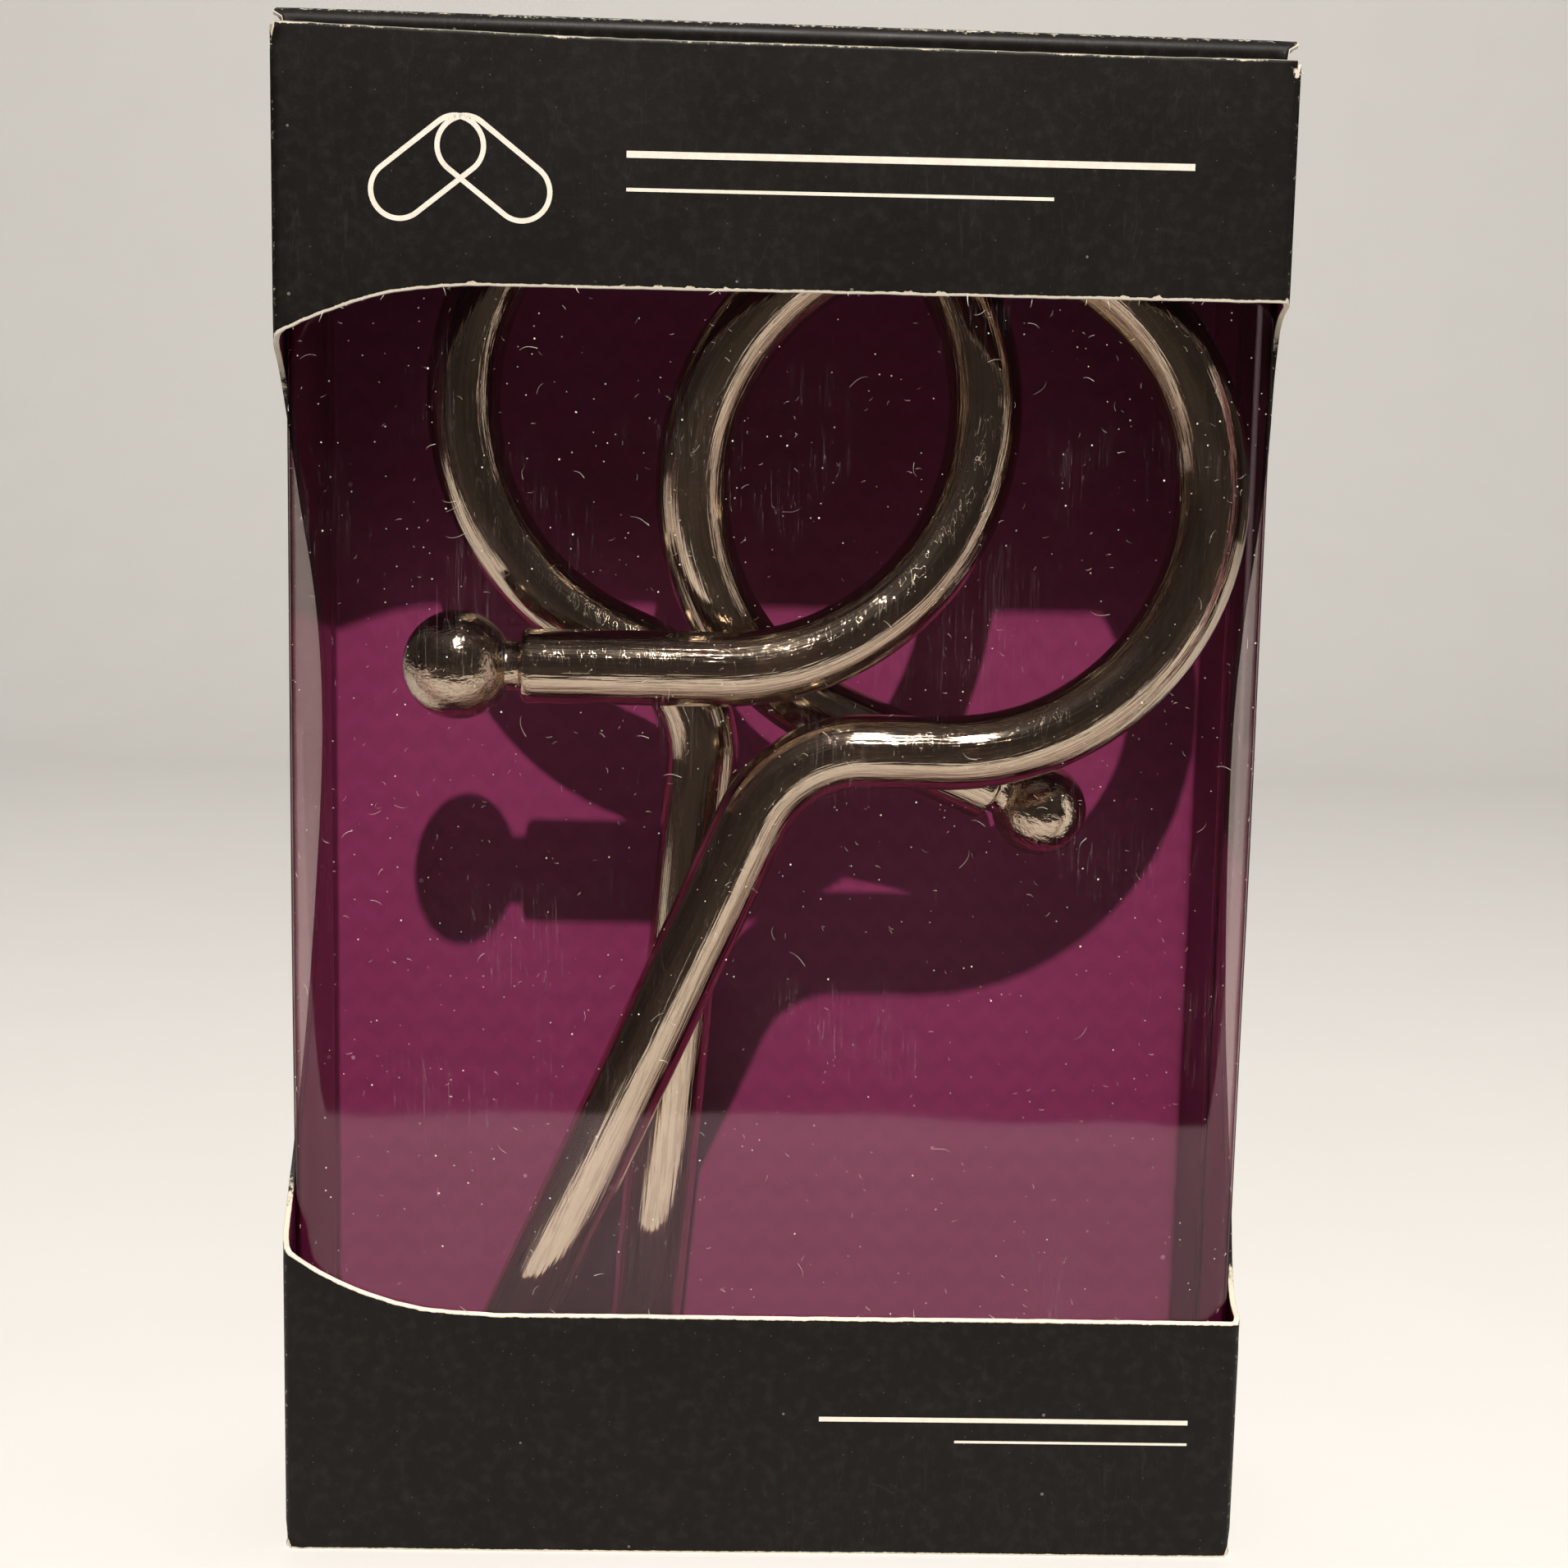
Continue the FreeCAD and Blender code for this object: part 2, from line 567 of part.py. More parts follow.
db, ds, dl, dt = size("rn_d_ball"), size("rn_d_start"), size("rn_d_loop"), size("rn_d_tip")
ramp = l0 + rr * math.radians(151)
slope = (ds - db) / neck
rn_knots = [(0, db, slope), (l0, ds, slope), (ramp, dl, 0), (l3, dl, 0),
            (l4, dt, (dt - dl) / (l4 - l3) * 1.5)]
rn_stops = ([0, l0] + [l0 + rr * math.radians(a) for a in range(22, 140, 22)] + [ramp]
            + [l0 + rr * math.radians(a) for a in range(185, 330, 34)]
            + [l1, l2, l2 + bend / 2, l3, l3 + shank / 2, l4])
shape, _ = nail(rn_seg, rn_knots, sorted(rn_stops), size("rear_ball_dia"), "rear_nail")
rear_nail = doc.addObject("Part::Feature", "rear_nail")
rear_nail.Shape = shape
rear_nail.Placement = FreeCAD.Placement()
named(rear_nail, "rear_nail")

# ---------------------------------------------------------------- checks and export
doc.recompute()
for obj in doc.Objects:
    for state in ("Invalid", "Error"):
        if state in obj.State:
            raise RuntimeError("%s is %s" % (obj.Name, obj.State))
for name, obj in PARTS:
    shape = obj.Shape
    if shape.isNull() or not shape.isValid() or shape.Volume <= 0 or len(shape.Solids) != 1:
        raise RuntimeError("%s has a bad shape" % name)
os.makedirs("parts", exist_ok=True)
for name, obj in PARTS:
    obj.Shape.exportStep("parts/%s.step" % name)
    box = obj.Shape.BoundBox
    print("%-20s vol %9.2f  x %7.2f %7.2f  y %7.2f %7.2f  z %7.2f %7.2f" % (
        name, obj.Shape.Volume, box.XMin, box.XMax, box.YMin, box.YMax, box.ZMin, box.ZMax))
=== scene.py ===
import bpy
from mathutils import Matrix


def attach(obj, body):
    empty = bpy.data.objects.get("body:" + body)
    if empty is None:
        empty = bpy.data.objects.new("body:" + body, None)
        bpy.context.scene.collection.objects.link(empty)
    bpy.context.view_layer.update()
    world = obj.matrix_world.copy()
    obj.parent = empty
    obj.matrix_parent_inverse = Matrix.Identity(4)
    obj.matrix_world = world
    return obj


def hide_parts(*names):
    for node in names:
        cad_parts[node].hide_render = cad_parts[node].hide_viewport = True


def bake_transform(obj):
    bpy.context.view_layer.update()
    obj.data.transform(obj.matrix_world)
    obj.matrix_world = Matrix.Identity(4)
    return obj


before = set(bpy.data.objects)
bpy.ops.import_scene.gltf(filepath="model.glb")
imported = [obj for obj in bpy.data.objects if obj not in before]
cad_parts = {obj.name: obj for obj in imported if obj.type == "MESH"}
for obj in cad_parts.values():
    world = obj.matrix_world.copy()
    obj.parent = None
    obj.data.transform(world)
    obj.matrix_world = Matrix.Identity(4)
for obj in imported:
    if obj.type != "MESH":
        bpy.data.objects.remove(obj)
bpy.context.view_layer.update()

import bpy
import math
import random
import numpy as np
from mathutils import Matrix, Vector, noise
from mathutils.geometry import delaunay_2d_cdt

MM = 0.001
rng = random.Random(41)

# ------------------------------------------------------------------ sizes, mm
W, D, H = 84.0, 25.0, 129.0
BACK_H, SIDE_H = 129.5, 128.8
T = 0.5                      # board
R = 0.9                      # outer radius of the folds
Y0, Y1 = -D / 2, D / 2

# ------------------------------------------------------------------ camera
cam_data = bpy.data.cameras.new("camera")
cam = bpy.data.objects.new("camera", cam_data)
bpy.context.scene.collection.objects.link(cam)
yaw, pitch, roll = [math.radians(a) for a in (-1.199, -7.398, 1.131)]
rz = Matrix.Rotation(yaw, 3, "Z")
rx = Matrix.Rotation(pitch, 3, "X")
right = rz @ rx @ Vector((1, 0, 0))
ahead = rz @ rx @ Vector((0, 1, 0))
up = rz @ rx @ Vector((0, 0, 1))
right, up = (math.cos(roll) * right + math.sin(roll) * up,
             -math.sin(roll) * right + math.cos(roll) * up)
m = Matrix((right, up, -ahead)).transposed().to_4x4()
m.translation = Vector((-2.915, Y0 - 178.598, 92.137)) * MM
cam.matrix_world = m
cam_data.sensor_width = 36.0
cam_data.lens = 2594.205 / 1911 * 36.0
cam_data.clip_start, cam_data.clip_end = 0.005, 20.0
bpy.context.scene.camera = cam

# ------------------------------------------------------------------ node helpers


def new_mat(name):
    mat = bpy.data.materials.new(name)
    mat.use_nodes = True
    nt = mat.node_tree
    nt.nodes.clear()
    return mat, nt


def n(nt, kind, **props):
    node = nt.nodes.new(kind)
    for key, value in props.items():
        if key == "inputs":
            for socket, v in value.items():
                node.inputs[socket].default_value = v
        else:
            setattr(node, key, value)
    return node


def link(nt, a, b):
    nt.links.new(a, b)


def coords(nt):
    return n(nt, "ShaderNodeTexCoord").outputs["Object"]


def mapping(nt, vec, scale=(1, 1, 1), rot=(0, 0, 0), loc=(0, 0, 0)):
    mp = n(nt, "ShaderNodeMapping")
    mp.inputs["Scale"].default_value = scale
    mp.inputs["Rotation"].default_value = rot
    mp.inputs["Location"].default_value = loc
    link(nt, vec, mp.inputs["Vector"])
    return mp.outputs["Vector"]


def tex_noise(nt, vec, scale, detail=4.0, rough=0.55, distortion=0.0):
    t = n(nt, "ShaderNodeTexNoise")
    t.inputs["Scale"].default_value = scale
    t.inputs["Detail"].default_value = detail
    t.inputs["Roughness"].default_value = rough
    t.inputs["Distortion"].default_value = distortion
    link(nt, vec, t.inputs["Vector"])
    return t.outputs["Fac"]


def ramp(nt, fac, stops):
    r = n(nt, "ShaderNodeValToRGB")
    el = r.color_ramp.elements
    while len(el) > 1:
        el.remove(el[0])
    el[0].position, el[0].color = stops[0][0], grey(stops[0][1])
    for pos, col in stops[1:]:
        e = el.new(pos)
        e.color = grey(col)
    link(nt, fac, r.inputs["Fac"])
    return r.outputs["Color"]


def grey(c):
    if isinstance(c, (int, float)):
        return (c, c, c, 1.0)
    return (*c[:3], 1.0)


def math_node(nt, op, a, b=None, clamp=False):
    node = n(nt, "ShaderNodeMath", operation=op, use_clamp=clamp)
    for i, v in enumerate((a, b)):
        if v is None:
            continue
        if isinstance(v, (int, float)):
            node.inputs[i].default_value = v
        else:
            link(nt, v, node.inputs[i])
    return node.outputs[0]


def mix_col(nt, fac, a, b, blend="MIX"):
    node = n(nt, "ShaderNodeMix", data_type="RGBA", blend_type=blend)
    for socket, v in ((node.inputs[0], fac), (node.inputs[6], a), (node.inputs[7], b)):
        if isinstance(v, (int, float)):
            socket.default_value = v
        elif isinstance(v, tuple):
            socket.default_value = grey(v)
        else:
            link(nt, v, socket)
    return node.outputs[2]


def bump(nt, height, strength, distance, normal=None):
    b = n(nt, "ShaderNodeBump")
    b.inputs["Strength"].default_value = strength
    b.inputs["Distance"].default_value = distance
    link(nt, height, b.inputs["Height"])
    if normal is not None:
        link(nt, normal, b.inputs["Normal"])
    return b.outputs["Normal"]


def principled(nt, **values):
    p = n(nt, "ShaderNodeBsdfPrincipled")
    for key, value in values.items():
        p.inputs[key.replace("_", " ")].default_value = value
    out = n(nt, "ShaderNodeOutputMaterial")
    link(nt, p.outputs[0], out.inputs["Surface"])
    return p, out


def specks(nt, vec, scale, size, keep, seed=0.0):
    """Sparse small marks: a cell's centre shows if the cell's random number is high."""
    v = n(nt, "ShaderNodeTexVoronoi", feature="F1")
    v.inputs["Scale"].default_value = scale
    v.inputs["Randomness"].default_value = 1.0
    link(nt, mapping(nt, vec, loc=(seed, seed * 0.7, seed * 1.3)), v.inputs["Vector"])
    near = math_node(nt, "LESS_THAN", v.outputs["Distance"], size)
    sep = n(nt, "ShaderNodeSeparateColor")
    link(nt, v.outputs["Color"], sep.inputs[0])
    lucky = math_node(nt, "GREATER_THAN", sep.outputs[0], keep)
    return math_node(nt, "MULTIPLY", near, lucky)


def scratches(nt, vec, rot, scale, stretch, lo, hi):
    """Thin straight marks: stretched noise cut to its narrow crests."""
    warped = mapping(nt, vec, scale=(scale, scale, scale * stretch), rot=rot)
    f = tex_noise(nt, warped, 1.0, 0.0, 0.5)
    near = math_node(nt, "ABSOLUTE", math_node(nt, "SUBTRACT", f, (lo + hi) / 2))
    return math_node(nt, "LESS_THAN", near, (hi - lo) / 2)


# ------------------------------------------------------------------ materials


def black_card():
    mat, nt = new_mat("card_black_print")
    co = coords(nt)
    p, out = principled(nt, Roughness=0.46, IOR=1.38)
    p.inputs["Specular IOR Level"].default_value = 0.20
    cloud = tex_noise(nt, co, 55.0, 3.0, 0.6)
    grain = tex_noise(nt, co, 900.0, 5.0, 0.7)
    weave = tex_noise(nt, mapping(nt, co, scale=(1, 1, 0.4)), 2300.0, 3.0, 0.65)
    base = mix_col(nt, cloud, (0.0052, 0.0041, 0.0034), (0.0086, 0.0068, 0.0057))
    base = mix_col(nt, math_node(nt, "MULTIPLY", ramp(nt, grain, [(0.48, 0.0), (0.74, 1.0)]), 0.60),
                   base, (0.0205, 0.0166, 0.0140))
    # wear: a vertex value of 1 on cut edges, less on folds, lets the board's core show
    att = n(nt, "ShaderNodeAttribute", attribute_name="wear_and_painted_film_edge")
    chip = tex_noise(nt, co, 1700.0, 5.0, 0.75)
    edge = math_node(nt, "ADD", att.outputs["Fac"], math_node(nt, "MULTIPLY", chip, 0.9))
    edge_mask = ramp(nt, edge, [(0.0, 0.0), (0.84, 0.0), (0.97, 1.0)])
    rub = tex_noise(nt, co, 320.0, 4.0, 0.7)
    rubbed = ramp(nt, math_node(nt, "ADD", math_node(nt, "MULTIPLY", att.outputs["Fac"], 0.5), rub),
                  [(0.0, 0.0), (0.74, 0.0), (1.0, 1.0)])
    base = mix_col(nt, math_node(nt, "MULTIPLY", rubbed, 0.30), base, (0.11, 0.094, 0.08))
    base = mix_col(nt, edge_mask, base, (0.62, 0.55, 0.44))
    dust = specks(nt, co, 520.0, 0.075, 0.90, 3.0)
    dust2 = specks(nt, co, 1500.0, 0.10, 0.80, 11.0)
    s1 = scratches(nt, co, (0.0, 0.7, 0.1), 1300.0, 0.10, 0.655, 0.672)
    s2 = scratches(nt, co, (0.0, -0.9, 0.3), 1500.0, 0.08, 0.66, 0.675)
    s3 = scratches(nt, co, (0.2, 1.5, 0.0), 1200.0, 0.12, 0.66, 0.676)
    some = ramp(nt, tex_noise(nt, co, 48.0, 2.0, 0.5), [(0.54, 0.0), (0.66, 1.0)])
    scr = math_node(nt, "MULTIPLY", math_node(nt, "MAXIMUM", math_node(nt, "MAXIMUM", s1, s2), s3), some)
    marks = math_node(nt, "ADD", math_node(nt, "MULTIPLY", dust, 0.38),
                      math_node(nt, "MULTIPLY", dust2, 0.13), clamp=True)
    marks = math_node(nt, "ADD", marks, math_node(nt, "MULTIPLY", scr, 0.016), clamp=True)
    base = mix_col(nt, marks, base, (0.30, 0.28, 0.25))
    link(nt, base, p.inputs["Base Color"])
    rough = ramp(nt, tex_noise(nt, co, 95.0, 4.0, 0.6), [(0.25, 0.38), (0.75, 0.50)])
    rough = mix_col(nt, edge_mask, rough, (0.9, 0.9, 0.9))
    link(nt, rough, p.inputs["Roughness"])
    hgt = math_node(nt, "ADD", math_node(nt, "MULTIPLY", weave, 0.6), grain)
    hgt = math_node(nt, "SUBTRACT", hgt, math_node(nt, "MULTIPLY", scr, 0.3))
    link(nt, bump(nt, hgt, 0.42, 0.00004), p.inputs["Normal"])
    return mat


def magenta_card():
    mat, nt = new_mat("card_magenta_print")
    co = coords(nt)
    p, out = principled(nt, Roughness=0.5, IOR=1.45)
    p.inputs["Specular IOR Level"].default_value = 0.35
    # soft zigzag tone in the print: distance across rows, swung side to side
    sep = n(nt, "ShaderNodeSeparateXYZ")
    link(nt, co, sep.inputs[0])
    swing = math_node(nt, "PINGPONG", math_node(nt, "MULTIPLY", sep.outputs["X"], 560.0), 1.0)
    row = math_node(nt, "ADD", math_node(nt, "MULTIPLY", sep.outputs["Z"], 640.0),
                    math_node(nt, "MULTIPLY", swing, 1.0))
    zig = math_node(nt, "PINGPONG", row, 1.0)
    zig = ramp(nt, zig, [(0.25, 0.0), (0.75, 1.0)])
    blot = tex_noise(nt, co, 42.0, 3.0, 0.6)
    wave = tex_noise(nt, mapping(nt, co, scale=(1, 1, 0.55), rot=(0, math.radians(38), 0)),
                     150.0, 3.0, 0.6, 0.7)
    grain = tex_noise(nt, co, 1800.0, 4.0, 0.7)
    base = mix_col(nt, blot, (0.156, 0.0120, 0.064), (0.186, 0.0155, 0.077))
    base = mix_col(nt, math_node(nt, "MULTIPLY", zig, 0.50), base, (0.122, 0.0080, 0.051))
    base = mix_col(nt, math_node(nt, "MULTIPLY", wave, 0.42), base, (0.124, 0.0085, 0.050))
    base = mix_col(nt, math_node(nt, "MULTIPLY", grain, 0.36), base, (0.238, 0.036, 0.110))
    att = n(nt, "ShaderNodeAttribute", attribute_name="wear_and_painted_film_edge")
    chip = tex_noise(nt, co, 1200.0, 4.0, 0.75)
    mask = ramp(nt, math_node(nt, "ADD", att.outputs["Fac"], math_node(nt, "MULTIPLY", chip, 0.7)),
                [(0.0, 0.0), (0.9, 0.0), (1.0, 1.0)])
    base = mix_col(nt, mask, base, (0.60, 0.48, 0.46))
    dust = specks(nt, co, 300.0, 0.07, 0.95, 5.0)
    base = mix_col(nt, math_node(nt, "MULTIPLY", dust, 0.4), base, (0.6, 0.36, 0.5))
    link(nt, base, p.inputs["Base Color"])
    rough = ramp(nt, blot, [(0.2, 0.42), (0.8, 0.58)])
    link(nt, rough, p.inputs["Roughness"])
    hgt = math_node(nt, "ADD", math_node(nt, "MULTIPLY", wave, 1.4), math_node(nt, "MULTIPLY", grain, 0.3))
    link(nt, bump(nt, hgt, 0.22, 0.00005), p.inputs["Normal"])
    return mat


def board_core(name="card_cut_edge", pale=(0.84, 0.80, 0.71), mid=(0.66, 0.61, 0.52), dark=(0.46, 0.40, 0.31)):
    mat, nt = new_mat(name)
    co = coords(nt)
    p, out = principled(nt, Roughness=0.85, IOR=1.4)
    layers = tex_noise(nt, co, 2400.0, 5.0, 0.75)
    soil = tex_noise(nt, co, 260.0, 4.0, 0.65)
    base = mix_col(nt, layers, mid, pale)
    base = mix_col(nt, ramp(nt, soil, [(0.45, 0.0), (0.8, 0.5)]), base, dark)
    link(nt, base, p.inputs["Base Color"])
    link(nt, bump(nt, layers, 0.6, 0.00006), p.inputs["Normal"])
    return mat


def clear_film():
    mat, nt = new_mat("clear_film")
    co = coords(nt)
    out = n(nt, "ShaderNodeOutputMaterial")
    clear = n(nt, "ShaderNodeBsdfTransparent")
    gloss = n(nt, "ShaderNodeBsdfPrincipled")
    gloss.inputs["IOR"].default_value = 1.5
    s1 = scratches(nt, co, (0, math.radians(55), 0), 2600.0, 0.030, 0.660, 0.667)
    s2 = scratches(nt, co, (0, math.radians(-38), 0), 2900.0, 0.035, 0.660, 0.666)
    s3 = scratches(nt, co, (0, math.radians(80), 0), 2400.0, 0.030, 0.662, 0.668)
    hair = math_node(nt, "MAXIMUM", math_node(nt, "MAXIMUM", s1, s2), s3)
    patch = ramp(nt, tex_noise(nt, co, 70.0, 3.0, 0.6), [(0.50, 0.0), (0.64, 1.0)])
    hair = math_node(nt, "MULTIPLY", hair, patch)
    dust = specks(nt, co, 1100.0, 0.075, 0.86, 9.0)
    marks = math_node(nt, "MAXIMUM", math_node(nt, "MULTIPLY", hair, 0.6), dust)
    # marks are pale and matt, the film itself only mirrors
    # round each bent corner: a dark line, painted shade, with a mauve band beside it, a painted reflection of the
    # magenta inside
    # the film's vertex value is how far it turns round a corner, not wear
    turn = math_node(nt, "MULTIPLY", n(nt, "ShaderNodeAttribute", attribute_name="wear_and_painted_film_edge").outputs["Fac"], 0.5)
    ragged = math_node(nt, "MULTIPLY", math_node(nt, "SUBTRACT", tex_noise(
        nt, mapping(nt, co, scale=(1, 1, 0.25)), 500.0, 3.0, 0.6), 0.5), 0.05)
    turn = math_node(nt, "ADD", turn, ragged)
    line = ramp(nt, turn, [(0.0, 0.0), (0.335, 0.0), (0.358, 1.0), (0.465, 1.0), (0.485, 0.0)])
    painted_mauve_reflection = ramp(nt, turn, [(0.0, 0.0), (0.265, 0.0), (0.292, 1.0), (0.33, 1.0), (0.36, 0.0)])
    base = mix_col(nt, marks, (1.0, 0.72, 0.80), (0.72, 0.66, 0.62))
    base = mix_col(nt, painted_mauve_reflection, base, (0.50, 0.26, 0.33))
    base = mix_col(nt, line, base, (0.12, 0.08, 0.075))
    link(nt, base, gloss.inputs["Base Color"])
    link(nt, math_node(nt, "SUBTRACT", 1.0, marks, clamp=True), gloss.inputs["Metallic"])
    rough = math_node(nt, "ADD", math_node(nt, "MULTIPLY", tex_noise(nt, co, 60.0, 3.0), 0.05), 0.02)
    rough = math_node(nt, "ADD", rough, math_node(nt, "MULTIPLY", marks, 0.6), clamp=True)
    link(nt, rough, gloss.inputs["Roughness"])
    wob = tex_noise(nt, co, 22.0, 2.0, 0.5)
    link(nt, bump(nt, wob, 0.25, 0.0004), gloss.inputs["Normal"])
    # Schlick's curve, the same from both sides: the sheet is thin and doesn't trap light
    lw = n(nt, "ShaderNodeLayerWeight")
    lw.inputs["Blend"].default_value = 0.5
    away = math_node(nt, "POWER", lw.outputs["Facing"], 5.0)
    slant = math_node(nt, "POWER", lw.outputs["Facing"], 3.0)
    # seen at a slant the see-through colour darkens and browns, painted shade on the bent edges; the mauve band and
    # dark line tint it as well
    tint = mix_col(nt, slant, (0.985, 0.978, 0.98), (0.58, 0.48, 0.45))
    tint = mix_col(nt, math_node(nt, "MULTIPLY", painted_mauve_reflection, 0.75), tint, (0.50, 0.27, 0.34))
    tint = mix_col(nt, math_node(nt, "MULTIPLY", line, 0.95), tint, (0.12, 0.068, 0.062))
    link(nt, tint, clear.inputs["Color"])
    fac = math_node(nt, "ADD", math_node(nt, "MULTIPLY", away, 0.80), 0.030)
    fac = math_node(nt, "ADD", fac, math_node(nt, "MULTIPLY", hair, 0.10))
    # the painted dark line mirrors less
    fac = math_node(nt, "MULTIPLY", fac, math_node(nt, "SUBTRACT", 1.0, math_node(nt, "MULTIPLY", line, 0.85)))
    fac = math_node(nt, "ADD", fac, math_node(nt, "MULTIPLY", dust, 0.38), clamp=True)
    mix = n(nt, "ShaderNodeMixShader")
    link(nt, fac, mix.inputs[0])
    link(nt, clear.outputs[0], mix.inputs[1])
    link(nt, gloss.outputs[0], mix.inputs[2])
    link(nt, mix.outputs[0], out.inputs["Surface"])
    return mat


def nickel():
    mat, nt = new_mat("nickel_plate")
    co = coords(nt)
    p, out = principled(nt, Metallic=1.0, Roughness=0.1)
    tone = tex_noise(nt, co, 80.0, 3.0, 0.6)
    smear = tex_noise(nt, mapping(nt, co, scale=(1, 1, 0.3), rot=(0, math.radians(30), 0)), 240.0, 4.0, 0.65)
    base = mix_col(nt, tone, (0.52, 0.428, 0.322), (0.62, 0.520, 0.400))
    tarn = ramp(nt, tex_noise(nt, co, 150.0, 5.0, 0.7), [(0.56, 0.0), (0.78, 1.0)])
    base = mix_col(nt, math_node(nt, "MULTIPLY", tarn, 0.40), base, (0.36, 0.27, 0.165))
    pits = specks(nt, co, 1100.0, 0.09, 0.965, 7.0)
    base = mix_col(nt, math_node(nt, "MULTIPLY", pits, 0.45), base, (0.22, 0.19, 0.15))
    s1 = scratches(nt, co, (0, math.radians(25), 0), 2100.0, 0.04, 0.655, 0.668)
    s2 = scratches(nt, co, (0, math.radians(-60), 0.3), 2400.0, 0.04, 0.655, 0.667)
    s3 = scratches(nt, co, (0.4, math.radians(80), 0), 2000.0, 0.035, 0.655, 0.668)
    scr = math_node(nt, "MAXIMUM", math_node(nt, "MAXIMUM", s1, s2), s3)
    rough = math_node(nt, "ADD", math_node(nt, "MULTIPLY", smear, 0.05), 0.035)
    rough = math_node(nt, "ADD", rough, math_node(nt, "MULTIPLY", scr, 0.14))
    rough = math_node(nt, "ADD", rough, math_node(nt, "MULTIPLY", tarn, 0.08), clamp=True)
    link(nt, rough, p.inputs["Roughness"])
    flow = n(nt, "ShaderNodeAttribute", attribute_name="flow").outputs["Vector"]
    drawn = tex_noise(nt, flow, 1.25, 3.0, 0.62)
    fine = tex_noise(nt, flow, 5.5, 3.0, 0.6)
    dull = ramp(nt, tex_noise(nt, flow, 3.4, 4.0, 0.68), [(0.50, 0.0), (0.57, 1.0)])
    base = mix_col(nt, math_node(nt, "MULTIPLY", dull, 0.26), base, (0.20, 0.150, 0.105))
    link(nt, base, p.inputs["Base Color"])
    micro = tex_noise(nt, co, 420.0, 3.0, 0.6)
    long = tex_noise(nt, co, 130.0, 2.0, 0.5)
    nrm = bump(nt, long, 0.16, 0.00012)
    nrm = bump(nt, drawn, 0.70, 0.00016, nrm)
    nrm = bump(nt, fine, 0.45, 0.000035, nrm)
    nrm = bump(nt, micro, 0.06, 0.00003, nrm)
    nrm = bump(nt, math_node(nt, "SUBTRACT", 1.0, scr), 0.10, 0.000015, nrm)
    link(nt, nrm, p.inputs["Normal"])
    return mat


def ink():
    mat, nt = new_mat("cream_ink")
    co = coords(nt)
    p, out = principled(nt, Roughness=0.5, IOR=1.45)
    worn = tex_noise(nt, co, 1400.0, 4.0, 0.7)
    base = mix_col(nt, ramp(nt, worn, [(0.3, 0.0), (0.8, 1.0)]), (0.74, 0.69, 0.60), (0.60, 0.55, 0.47))
    link(nt, base, p.inputs["Base Color"])
    link(nt, bump(nt, worn, 0.15, 0.00002), p.inputs["Normal"])
    return mat


BLACK, MAGENTA, CORE = black_card(), magenta_card(), board_core()
# a darker copy of the cut-edge colour, for the header's top edge
DARKER_CORE = board_core("card_cut_edge_darker", (0.34, 0.315, 0.245), (0.19, 0.175, 0.130), (0.085, 0.073, 0.055))
FILM, NICKEL, INK = clear_film(), nickel(), ink()

# ------------------------------------------------------------------ mesh helpers


def obj_from(name, verts, faces, mats, face_mats=None, wear_and_painted_film_edge=None, smooth_angle=40.0):
    me = bpy.data.meshes.new(name)
    me.from_pydata([tuple(c * MM for c in v) for v in verts], [], faces)
    for mat in mats:
        me.materials.append(mat)
    if face_mats is not None:
        me.polygons.foreach_set("material_index", face_mats)
    if wear_and_painted_film_edge is not None:
        att = me.attributes.new("wear_and_painted_film_edge", "FLOAT", "POINT")
        att.data.foreach_set("value", np.array(wear_and_painted_film_edge, np.float32))
    me.polygons.foreach_set("use_smooth", [True] * len(me.polygons))
    me.update()
    if smooth_angle is not None:
        me.set_sharp_from_angle(angle=math.radians(smooth_angle))
    ob = bpy.data.objects.new(name, me)
    bpy.context.scene.collection.objects.link(ob)
    return ob


def spline(points, count):
    """Catmull-Rom through the points, centripetal, evenly resampled."""
    pts = [np.array(p, float) for p in points]
    pts = [2 * pts[0] - pts[1]] + pts + [2 * pts[-1] - pts[-2]]
    out = []
    for i in range(1, len(pts) - 2):
        p0, p1, p2, p3 = pts[i - 1:i + 3]
        t0 = 0.0
        t1 = t0 + np.linalg.norm(p1 - p0) ** 0.5
        t2 = t1 + np.linalg.norm(p2 - p1) ** 0.5
        t3 = t2 + np.linalg.norm(p3 - p2) ** 0.5
        for t in np.linspace(t1, t2, 24, endpoint=False):
            a1 = (t1 - t) / (t1 - t0) * p0 + (t - t0) / (t1 - t0) * p1
            a2 = (t2 - t) / (t2 - t1) * p1 + (t - t1) / (t2 - t1) * p2
            a3 = (t3 - t) / (t3 - t2) * p2 + (t - t2) / (t3 - t2) * p3
            b1 = (t2 - t) / (t2 - t0) * a1 + (t - t0) / (t2 - t0) * a2
            b2 = (t3 - t) / (t3 - t1) * a2 + (t - t1) / (t3 - t1) * a3
            out.append((t2 - t) / (t2 - t1) * b1 + (t - t1) / (t2 - t1) * b2)
    out.append(pts[-2])
    out = np.array(out)
    seg = np.r_[0, np.cumsum(np.linalg.norm(np.diff(out, axis=0), axis=1))]
    s = np.linspace(0, seg[-1], count)
    return [(float(np.interp(v, seg, out[:, 0])), float(np.interp(v, seg, out[:, 1]))) for v in s]


def resample(points, step):
    """Straight runs divided at about step, corners kept. The last point isn't repeated."""
    out = []
    for a, b in zip(points, points[1:]):
        a, b = np.array(a, float), np.array(b, float)
        k = max(1, int(round(np.linalg.norm(b - a) / step)))
        out += [tuple(a + (b - a) * i / k) for i in range(k)]
    return out


